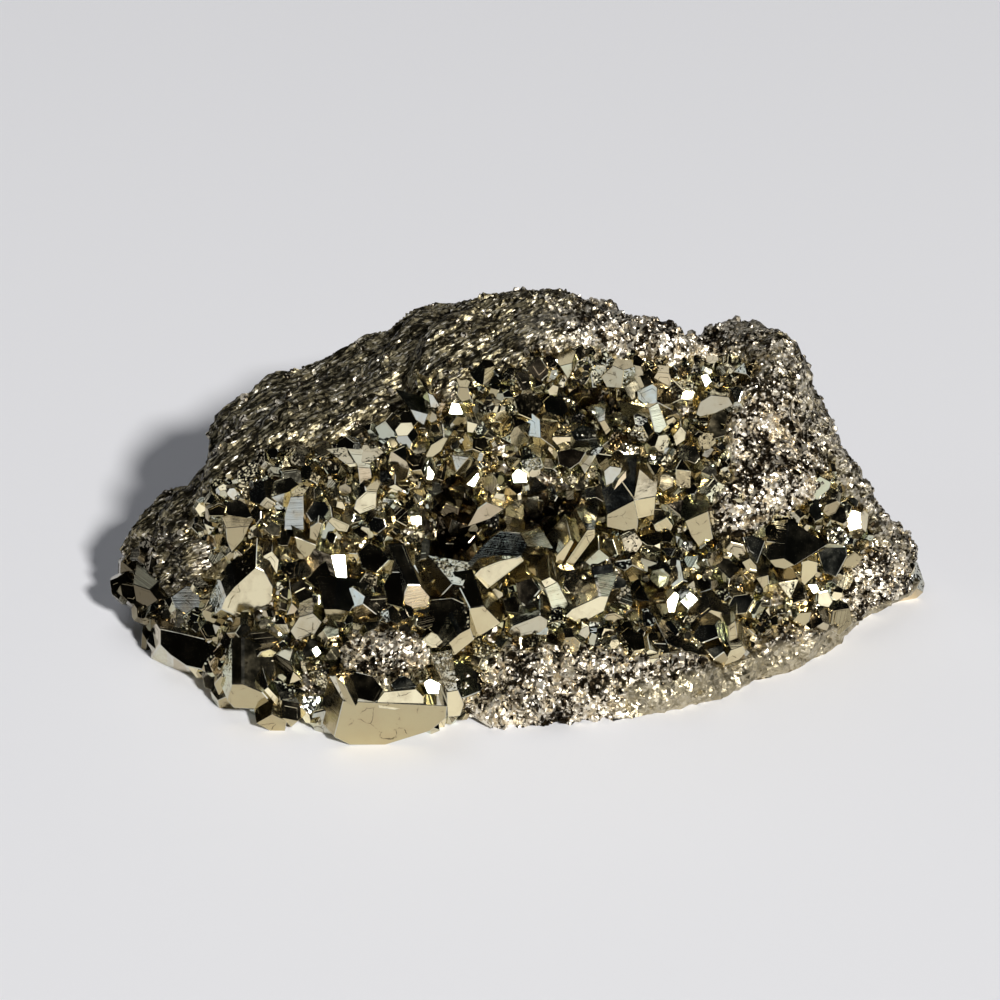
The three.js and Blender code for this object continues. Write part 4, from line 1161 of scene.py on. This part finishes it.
def strewn_crystals(already):
    """The photo's crystals and the others of the solid, which grow in the gaps that they leave."""
    placed = list(already)
    names = list(HABITS)
    for tries, (smallest, largest), spacing, seed in STREWN:
        numbers = seed * NUMBERS_PER_SEED + np.arange(tries)
        size = mix(smallest, largest, chance(numbers, 1))
        up = mix(*STREWN_UP, chance(numbers, 3))
        share = mix(*STREWN_SHARES, smoothstep(up, *STREWN_SHARE_UP))
        surface, away, cover = seats(mix(*STREWN_X, chance(numbers, 2)), up)
        out = mix(*STREWN_OUT, chance(numbers, 4)) - vug_depth(surface) - size / 2
        centre = surface + away * out[:, None]
        pick = np.floor(len(names) * chance(numbers, 6)).astype(int)
        hidden = np.any([over_face(lead, centre, size, STREWN_CLEARANCE) for lead in already], axis=0)
        for k in np.flatnonzero((cover >= STREWN_COVER) & ~hidden):
            middles = np.array([other["middle"] for other in placed])
            sizes = np.array([other["size"] for other in placed])
            if np.any(np.linalg.norm(middles - centre[k], axis=1) <= spacing * (sizes + size[k]) / 2):
                continue
            number = int(numbers[k])
            placed.append({
                "centre": centre[k], "middle": centre[k], "size": size[k],
                "scale": np.full(3, size[k] * share[k]), "planes": crystal_faces(names[pick[k]], number),
                "tone": None, "ribbed": None, "number": number, "turn": any_turn(number),
            })
    for crystal in placed[len(already):]:
        crystal["size"] = crystal["scale"][0] / STREWN_SHARES[0]
    return placed


def left_end_shade(x):
    """Painted shade on the crystals towards the lump's left end, which faces away from the key light."""
    return LEFT_SHADE * smoothstep(-x, *LEFT_SHADE_START)


def inside_crystals(points, crystals):
    """True for points that lie within one of the crystals."""
    hidden = np.zeros(len(points), bool)
    for crystal in crystals:
        local = (points - crystal["centre"]) @ crystal["turn"] / crystal["scale"]
        normals, distances = crystal["planes"]
        hidden |= (local @ normals.T < distances).all(axis=1)
    return hidden


def joined_crystals(name, shapes, picks, turns, scales, centres, tones, deep):
    """One mesh of many crystals: which shape each has, its turn, scale, centre, tone and the depth share of
    its painted shade.
    """
    parts = {key: [] for key in ("points", "loops", "counts", "tone", "ribbed", "etched", "stripe", "deep")}
    first = 0
    for pick, turn, scale, centre, tone, depth in zip(picks, turns, scales, centres, tones, deep):
        shape = shapes[pick]
        parts["points"].append((shape["points"] * scale) @ turn.T + centre)
        parts["loops"].append(shape["loops"] + first)
        parts["counts"].append(shape["counts"])
        parts["tone"].append((shape["tone"] + tone) % 1)
        parts["ribbed"].append(shape["ribbed"])
        parts["etched"].append(shape["etched"])
        parts["stripe"].append(shape["stripe"] * scale[0])
        parts["deep"].append(np.full(len(shape["points"]), depth))
        first += len(shape["points"])
    parts = {key: np.concatenate(value) for key, value in parts.items()}
    parts["points"][:, 2] = np.maximum(parts["points"][:, 2], 0)
    looks = {key: parts[key] for key in ("tone", "ribbed", "etched")}
    return mesh_piece(
        name, parts["points"], parts["loops"], parts["counts"],
        {"deep": parts["deep"]}, looks, {"stripe": parts["stripe"]},
    )


def large_crystals(name, crystals, edge_width):
    """One mesh of crystals that each have their own shape."""
    shapes = []
    for crystal in crystals:
        worn = edge_width / crystal["scale"][0]
        given = (crystal["tone"], crystal["ribbed"])
        shapes.append(crystal_shape(*crystal["planes"], crystal["number"], worn, LARGE_TERRACES, given))
    # painted shade towards the left end rides on the crystals' 'deep' value
    return joined_crystals(
        name, shapes, range(len(crystals)), [c["turn"] for c in crystals],
        [c["scale"] for c in crystals], [c["centre"] for c in crystals],
        np.zeros(len(crystals)), [float(left_end_shade(c["centre"][:1])[0]) for c in crystals],
    )


def random_turns(rng, count):
    return np.array([Quaternion(unit(row)).to_matrix() for row in rng.normal(size=(count, 4))])


def small_crystals(skin, crystals, rng):
    """Crystals between the large ones, each kind in the gaps that the larger kinds leave."""
    made = []
    crust = np.flatnonzero((skin["cover"] > SMALL_COVER) & (skin["row"] > SMALL_ROW))
    centres = np.array([c["middle"] for c in crystals])
    sizes = np.array([c["size"] for c in crystals])
    leads = [c for c in crystals if "ring" in c]
    for step, (name, tries, sizes_tried, tops, spacing, wear, terraces) in enumerate(SMALL_CRYSTALS):
        worn = wear / sizes_tried[1]
        shapes = [
            crystal_shape(*crystal_faces(habit, 900 + 60 * step + k), k, worn, terraces)
            for k in range(SMALL_SHAPES) for habit in HABITS
        ]
        chosen = rng.choice(crust, tries)
        size = mix(*sizes_tried, rng.random(tries) ** SMALL_BIAS)
        stretch = rng.uniform(*SMALL_STRETCH, (tries, 3))
        turns = random_turns(rng, tries)
        picks = rng.integers(0, len(shapes), tries)
        tones = rng.random(tries)
        top = rng.uniform(*tops, tries) - vug_depth(skin["outline"][chosen])
        tips = skin["outline"][chosen] + skin["away"][chosen] * top[:, None]
        centre = tips - skin["away"][chosen] * (size / 2)[:, None]
        hidden = inside_crystals(tips - skin["away"][chosen] * (0.1 * size)[:, None], crystals)
        for lead in leads:
            hidden |= over_face(lead, centre, size, SMALL_CLEARANCE)
        kept = []
        for k in np.flatnonzero(~hidden):
            if np.all(np.linalg.norm(centres - centre[k], axis=1) > spacing * (sizes + size[k]) / 2):
                kept.append(k)
                centres = np.vstack([centres, centre[k]])
                sizes = np.append(sizes, size[k])
        # painted shade: darker where the skin lies deep and towards the left end
        deep = np.clip((skin["sunk"][chosen[kept]] - CRYSTAL_RECESS) / SMALL_DARKEST_DEPTH, 0, 1)
        deep = np.maximum(deep, left_end_shade(centre[kept, 0]))
        made.append(joined_crystals(
            name, shapes, picks[kept], turns[kept],
            size[kept, None] * stretch[kept], centre[kept], tones[kept], deep,
        ))
    return made


def broken_grains(skin, rng):
    """Grains of the granular and slaty surfaces that stand out of the skin."""
    name, count, (smallest, largest) = BROKEN_GRAINS
    slaty, granular, _ = skin["zones"]
    weight = granular + GRAINS_ON_SLATY * slaty
    weight[skin["row"] < GRAIN_LOWEST_ROW] = 0
    chosen = rng.choice(len(weight), count, p=weight / weight.sum())
    shapes = [
        crystal_shape(*crystal_faces(habit, 1500 + k), k, 0, 0.0)
        for k in range(GRAIN_SHAPES) for habit in ("star", "block")
    ]
    size = mix(smallest, largest, rng.random(count) ** GRAIN_BIAS)
    centre = skin["points"][chosen] - skin["away"][chosen] * (0.25 * size)[:, None]
    return joined_crystals(
        name, shapes, rng.integers(0, len(shapes), count), random_turns(rng, count),
        size[:, None] * rng.uniform(*GRAIN_STRETCH, (count, 3)), centre, rng.random(count),
        np.full(count, GRAIN_SHADE),
    )


# Finish


def node_group(name, inputs, outputs):
    """An empty shader node group with named inputs (kind and default) and outputs (kind)."""
    group = bpy.data.node_groups.new(name, "ShaderNodeTree")
    for label, (kind, default) in inputs.items():
        socket = group.interface.new_socket(label, in_out="INPUT", socket_type=kind)
        if default is not None:
            socket.default_value = default
    for label, kind in outputs.items():
        group.interface.new_socket(label, in_out="OUTPUT", socket_type=kind)
    return group, group.nodes.new("NodeGroupInput"), group.nodes.new("NodeGroupOutput")


def add(tree, kind, links=None, **settings):
    """A node with its settings; links maps an input's name or number to a socket or a plain value."""
    node = tree.nodes.new("ShaderNode" + kind)
    for key, value in settings.items():
        setattr(node, key, value)
    for key, source in (links or {}).items():
        if isinstance(source, bpy.types.NodeSocket):
            tree.links.new(source, node.inputs[key])
        else:
            node.inputs[key].default_value = source
    return node


def calculated(tree, operation, first, second):
    return add(tree, "Math", {0: first, 1: second}, operation=operation).outputs[0]


def mapped(tree, value, reach, result=(0.0, 1.0)):
    """The value with its reach stretched to the result's, and held there outside it."""
    return add(tree, "MapRange", dict(enumerate((value, *reach, *result)))).outputs[0]


def vector(tree, operation, *inputs):
    return add(tree, "VectorMath", dict(enumerate(inputs)), operation=operation).outputs[0]


def scaled(tree, given, scale):
    return add(tree, "VectorMath", {0: given, "Scale": scale}, operation="SCALE").outputs[0]


def blended(tree, share, first, second):
    """The first colour or normal, with a share of the second in its place."""
    return add(tree, "MixRGB", {0: share, 1: first, 2: second}).outputs[0]


def noise(tree, where, **inputs):
    """Noise by place. Its scale counts features to the metre."""
    return add(tree, "TexNoise", {"Vector": where, **inputs})


def attribute(tree, name):
    """One of the named values that the meshes carry."""
    return add(tree, "Attribute", attribute_name=name).outputs["Fac"]


def bumped(tree, height, strength, depth, **more):
    """A normal that follows small heights, which are so many millimetres deep."""
    inputs = {"Strength": strength, "Distance": depth * MM, "Height": height, **more}
    return add(tree, "Bump", inputs).outputs[0]


def sparkle_group():
    """Tiny flat facets, each turned its own way, as in broken granular pyrite."""
    group, given, out = node_group(
        "granular sparkle",
        {
            "Position": ("NodeSocketVector", None),
            "Facet Size mm": ("NodeSocketFloat", 0.5),
            "Tilt": ("NodeSocketFloat", 0.5),
        },
        {"Normal": "NodeSocketVector", "Cell": "NodeSocketFloat"},
    )
    scale = calculated(group, "DIVIDE", 1 / MM, given.outputs["Facet Size mm"])
    cells = add(group, "TexVoronoi", {"Vector": given.outputs["Position"], "Scale": scale}, feature="F1")
    colour = cells.outputs["Color"]
    centred = vector(group, "SUBTRACT", colour, (0.5, 0.5, 0.5))
    tilted = scaled(group, centred, given.outputs["Tilt"])
    summed = vector(group, "ADD", add(group, "NewGeometry").outputs["Normal"], tilted)
    group.links.new(vector(group, "NORMALIZE", summed), out.inputs["Normal"])
    group.links.new(add(group, "SeparateColor", {0: colour}).outputs[0], out.inputs["Cell"])
    return group


def glittering(tree, sparkle, where, size, tilt):
    """The sparkle group with its own facet size and tilt."""
    return add(tree, "Group", {"Position": where, "Facet Size mm": size, "Tilt": tilt}, node_tree=sparkle)


def colour_ramp(tree, factor, stops):
    """A colour that runs through stops, each a position and a colour."""
    ramp = add(tree, "ValToRGB", {0: factor})
    elements = ramp.color_ramp.elements
    while len(elements) < len(stops):
        elements.new(0.5)
    for element, (position, colour) in zip(elements, stops):
        element.position = position
        element.color = (*colour, 1)
    return ramp.outputs[0]


def metal(name):
    """A material with a bare metal shader, whose other inputs the caller links."""
    material = bpy.data.materials.new(name)
    material.use_nodes = True
    tree = material.node_tree
    tree.nodes.clear()
    shader = add(tree, "BsdfPrincipled", {"Metallic": 1.0})
    output = add(tree, "OutputMaterial")
    tree.links.new(shader.outputs[0], output.inputs["Surface"])
    return material, tree, shader


SHEET_TURN = Vector(STREAK).rotation_difference(Vector((1, 0, 0))).to_euler()

# dark bronze of the cracks on crystal faces, and of the painted shade in the depths
CRACK_AND_SHADE_BRONZE = (0.045, 0.032, 0.018, 1)
BRONZE_STAIN = (0.50, 0.41, 0.25, 1)
RIM_BRONZE = (0.40, 0.35, 0.235, 1)
# painted shade in the gaps between the grains
GAP_SHADE = (0.022, 0.016, 0.009, 1)
# painted shade in the crevices between the slaty sheets
CREVICE_SHADE = (0.016, 0.013, 0.007, 1)
# Tones of the granular part's facets and of the slaty sheets, from dark to bright.
GRAIN_TONES = [
    (0.0, (0.30, 0.25, 0.18)),
    (0.3, (0.66, 0.59, 0.46)),
    (0.6, (0.88, 0.81, 0.67)),
    (1.0, (0.96, 0.91, 0.80)),
]
SHEET_TONES = [
    (0.0, (0.05, 0.04, 0.02)),
    (0.4, (0.24, 0.205, 0.12)),
    (0.8, (0.42, 0.37, 0.24)),
    (1.0, (0.78, 0.74, 0.64)),
]
# Tones of crystal faces from warm bronze over cream, beige and brown to greenish and bluish steel.
FACE_TONES = [
    (0.00, (0.56, 0.44, 0.30)),
    (0.08, (0.93, 0.86, 0.60)),
    (0.18, (0.84, 0.75, 0.50)),
    (0.30, (0.53, 0.46, 0.28)),
    (0.46, (0.42, 0.35, 0.21)),
    (0.60, (0.60, 0.56, 0.42)),
    (0.72, (0.64, 0.66, 0.48)),
    (0.85, (0.60, 0.64, 0.60)),
    (1.00, (0.62, 0.52, 0.33)),
]


def crystal_metal(sparkle):
    """Mirror-bright crystal faces with ribs, etched patches, bronze stains, cracks and painted shade in the
    depths and towards the left end.
    """
    material, tree, shader = metal("crystal pyrite")
    where = add(tree, "TexCoord").outputs["Object"]
    mottle = noise(tree, where, Scale=420, Detail=5, Roughness=0.6).outputs[0]
    faces = colour_ramp(tree, attribute(tree, "tone"), FACE_TONES)
    stained = blended(tree, mapped(tree, mottle, (0.44, 0.68), (0.0, 0.6)), faces, BRONZE_STAIN)

    wander = noise(tree, where, Scale=700, Detail=3).outputs["Color"]
    moved = vector(tree, "ADD", where, scaled(tree, wander, 0.9 * MM))
    cells = add(tree, "TexVoronoi", {"Vector": moved, "Scale": 380}, feature="DISTANCE_TO_EDGE")
    lines = mapped(tree, cells.outputs["Distance"], (0.01, 0.022), (1.0, 0.0))
    cracks = calculated(tree, "MULTIPLY", lines, mapped(tree, mottle, (0.53, 0.6), (0.0, 0.75)))
    cracked = blended(tree, cracks, stained, CRACK_AND_SHADE_BRONZE)
    # painted shade: darker where the 'deep' value is high, in the depths and towards the left end
    painted_shade = mapped(tree, attribute(tree, "deep"), (0.15, 0.9), (0.0, 0.9))
    tree.links.new(blended(tree, painted_shade, cracked, CRACK_AND_SHADE_BRONZE), shader.inputs["Base Color"])
    tree.links.new(mapped(tree, mottle, (0.4, 0.75), (0.07, 0.2)), shader.inputs["Roughness"])

    steps = add(
        tree, "TexNoise", {"W": attribute(tree, "stripe"), "Scale": 5.5, "Detail": 2, "Roughness": 0.7},
        noise_dimensions="1D",
    ).outputs[0]
    ribs = calculated(tree, "MULTIPLY", steps, mapped(tree, attribute(tree, "ribbed"), (0.55, 0.7)))
    swell = noise(tree, where, Scale=420, Detail=2).outputs[0]
    pits = noise(tree, where, Scale=1500, Detail=3).outputs[0]
    gentle = bumped(tree, swell, 0.3, 0.12)
    ridged = bumped(tree, ribs, 0.6, 0.05, Normal=gentle)
    pitted = bumped(tree, pits, 0.15, 0.05, Normal=ridged)
    patches = noise(tree, where, Scale=520, Detail=4, Roughness=0.65).outputs[0]
    etched = calculated(tree, "ADD", patches, attribute(tree, "etched"))
    grains = glittering(tree, sparkle, where, 0.22, 0.36)
    facing = blended(tree, mapped(tree, etched, (1.16, 1.28)), pitted, grains.outputs["Normal"])
    tree.links.new(facing, shader.inputs["Normal"])
    return material


def broken_metal(sparkle):
    """Broken pyrite of the lump itself: slaty, granular or smooth by the skin's own masks."""
    material, tree, shader = metal("broken pyrite")
    where = add(tree, "TexCoord").outputs["Object"]
    slaty, smooth, deep = (attribute(tree, name) for name in ("slaty", "smooth", "deep"))

    tilt = mapped(tree, smooth, (0.0, 1.0), (0.55, 0.4))
    grains = glittering(tree, sparkle, where, 0.36, tilt)
    turned = add(tree, "VectorRotate", {"Vector": where, "Rotation": SHEET_TURN}, rotation_type="EULER_XYZ")
    drawn_out = add(tree, "Mapping", {"Vector": turned.outputs[0], "Scale": (0.3, 1.0, 1.0)}).outputs[0]
    sheets = glittering(tree, sparkle, drawn_out, 0.22, 0.54)
    facing = blended(tree, slaty, grains.outputs["Normal"], sheets.outputs["Normal"])
    tree.links.new(facing, shader.inputs["Normal"])

    bright = colour_ramp(tree, grains.outputs["Cell"], GRAIN_TONES)
    # painted shade: dark gaps between the grains and larger dark patches, laid by noise
    blotches = noise(tree, where, Scale=260, Detail=2, Roughness=0.5).outputs[0]
    gaps = noise(tree, where, Scale=1150, Detail=3, Roughness=0.6, Distortion=0.8).outputs[0]
    shaded = mapped(tree, blended(tree, 0.35, gaps, blotches), (0.49, 0.53))
    patchy = blended(tree, shaded, bright, GAP_SHADE)
    dull = colour_ramp(tree, sheets.outputs["Cell"], SHEET_TONES)
    # cracks along the streaks, their dark painted as the shade of crevices
    long_way = add(tree, "Mapping", {"Vector": turned.outputs[0], "Scale": (0.2, 1.0, 1.0)}).outputs[0]
    cracks = noise(tree, long_way, Scale=1400, Detail=4, Roughness=0.65).outputs[0]
    streaked = blended(tree, mapped(tree, cracks, (0.475, 0.54), (0.0, 0.97)), dull, CREVICE_SHADE)
    slated = blended(tree, slaty, patchy, streaked)
    polished = blended(tree, calculated(tree, "MULTIPLY", smooth, 0.78), slated, RIM_BRONZE)
    # painted shade: darker where the skin lies deep
    colour = blended(tree, mapped(tree, deep, (0.1, 0.7), (0.0, 0.95)), polished, CRACK_AND_SHADE_BRONZE)
    tree.links.new(colour, shader.inputs["Base Color"])

    uneven = noise(tree, where, Scale=700, Detail=3).outputs[0]
    shiny = mapped(tree, uneven, (0.35, 0.7), (0.30, 0.54))
    satin = mapped(tree, uneven, (0.35, 0.7), (0.40, 0.56))
    tree.links.new(blended(tree, slaty, shiny, satin), shader.inputs["Roughness"])
    return material


# Stage

# Soft disks of light: name, place, what it aims at, width (m), power (W) and colour.
LIGHTS = [
    ("key", (1.70, -3.30, 2.40), (0, 0, 0.015), 0.50, 265, (1.0, 0.98, 0.95)),
    ("side_fill", (-0.75, -0.25, 0.55), (0, 0, 0.02), 0.36, 0.32, (0.86, 0.93, 1.0)),
    ("back_fill", (-0.2, 0.75, 1.25), (0, 0, 0.02), 1.3, 4.0, (0.96, 0.97, 1.0)),
]
ROOM_COLOUR, ROOM_STRENGTH = (0.9, 0.95, 1.0, 1), 0.003
FLOOR_HALF = 3.0
FLOOR_COLOUR, FLOOR_ROUGHNESS = (0.84, 0.85, 0.89, 1), 0.6


def area_light(name, at, aim, size, power, colour):
    light = bpy.data.lights.new(name, "AREA")
    light.shape = "DISK"
    light.size = size
    light.energy = power
    light.color = colour
    lamp = bpy.data.objects.new(name, light)
    lamp.location = at
    lamp.rotation_euler = (Vector(aim) - Vector(at)).to_track_quat("-Z", "Y").to_euler()
    bpy.context.scene.collection.objects.link(lamp)


def studio():
    """A plain pale floor, one bright soft light from the front right and dim light all round."""
    floor_mesh = bpy.data.meshes.new("floor")
    corners = [(x * FLOOR_HALF, y * FLOOR_HALF, 0) for x, y in ((-1, -1), (1, -1), (1, 1), (-1, 1))]
    floor_mesh.from_pydata(corners, [], [(0, 1, 2, 3)])
    floor = bpy.data.objects.new("floor", floor_mesh)
    bpy.context.scene.collection.objects.link(floor)
    pale = bpy.data.materials.new("pale floor")
    pale.use_nodes = True
    shader = pale.node_tree.nodes["Principled BSDF"]
    shader.inputs["Base Color"].default_value = FLOOR_COLOUR
    shader.inputs["Roughness"].default_value = FLOOR_ROUGHNESS
    floor_mesh.materials.append(pale)

    for light in LIGHTS:
        area_light(*light)

    world = bpy.data.worlds.new("room")
    world.use_nodes = True
    background = world.node_tree.nodes["Background"]
    background.inputs["Color"].default_value = ROOM_COLOUR
    background.inputs["Strength"].default_value = ROOM_STRENGTH
    bpy.context.scene.world = world


def camera():
    view = bpy.data.cameras.new("camera")
    view.lens = CAMERA_LENS
    view.sensor_width = SENSOR_WIDTH
    holder = bpy.data.objects.new("camera", view)
    holder.location = CAMERA_AT
    holder.rotation_euler = (CAMERA_TILT, 0, 0)
    bpy.context.scene.collection.objects.link(holder)
    bpy.context.scene.camera = holder


def main():
    camera()
    studio()
    rng = np.random.default_rng(SEED)
    skin = lump_skin()
    crystals = strewn_crystals(face_crystals(LEAD_FACES, 0))
    minor = face_crystals(MINOR_FACES, MINOR_NUMBERS)
    sparkle = sparkle_group()
    faces = crystal_metal(sparkle)
    broken = broken_metal(sparkle)
    finishes = [
        (massive_skin(skin), broken),
        (large_crystals("large_crystals", crystals, LARGE_WEAR), faces),
        (large_crystals("minor_crystals", minor, MINOR_WEAR), faces),
    ]
    finishes += [(piece, faces) for piece in small_crystals(skin, crystals + minor, rng)]
    finishes.append((broken_grains(skin, rng), broken))
    for piece, material in finishes:
        piece.data.materials.append(material)
        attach(piece, BODY)
        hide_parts(NODE)


main()
bpy.context.scene.view_settings.view_transform = "Standard"
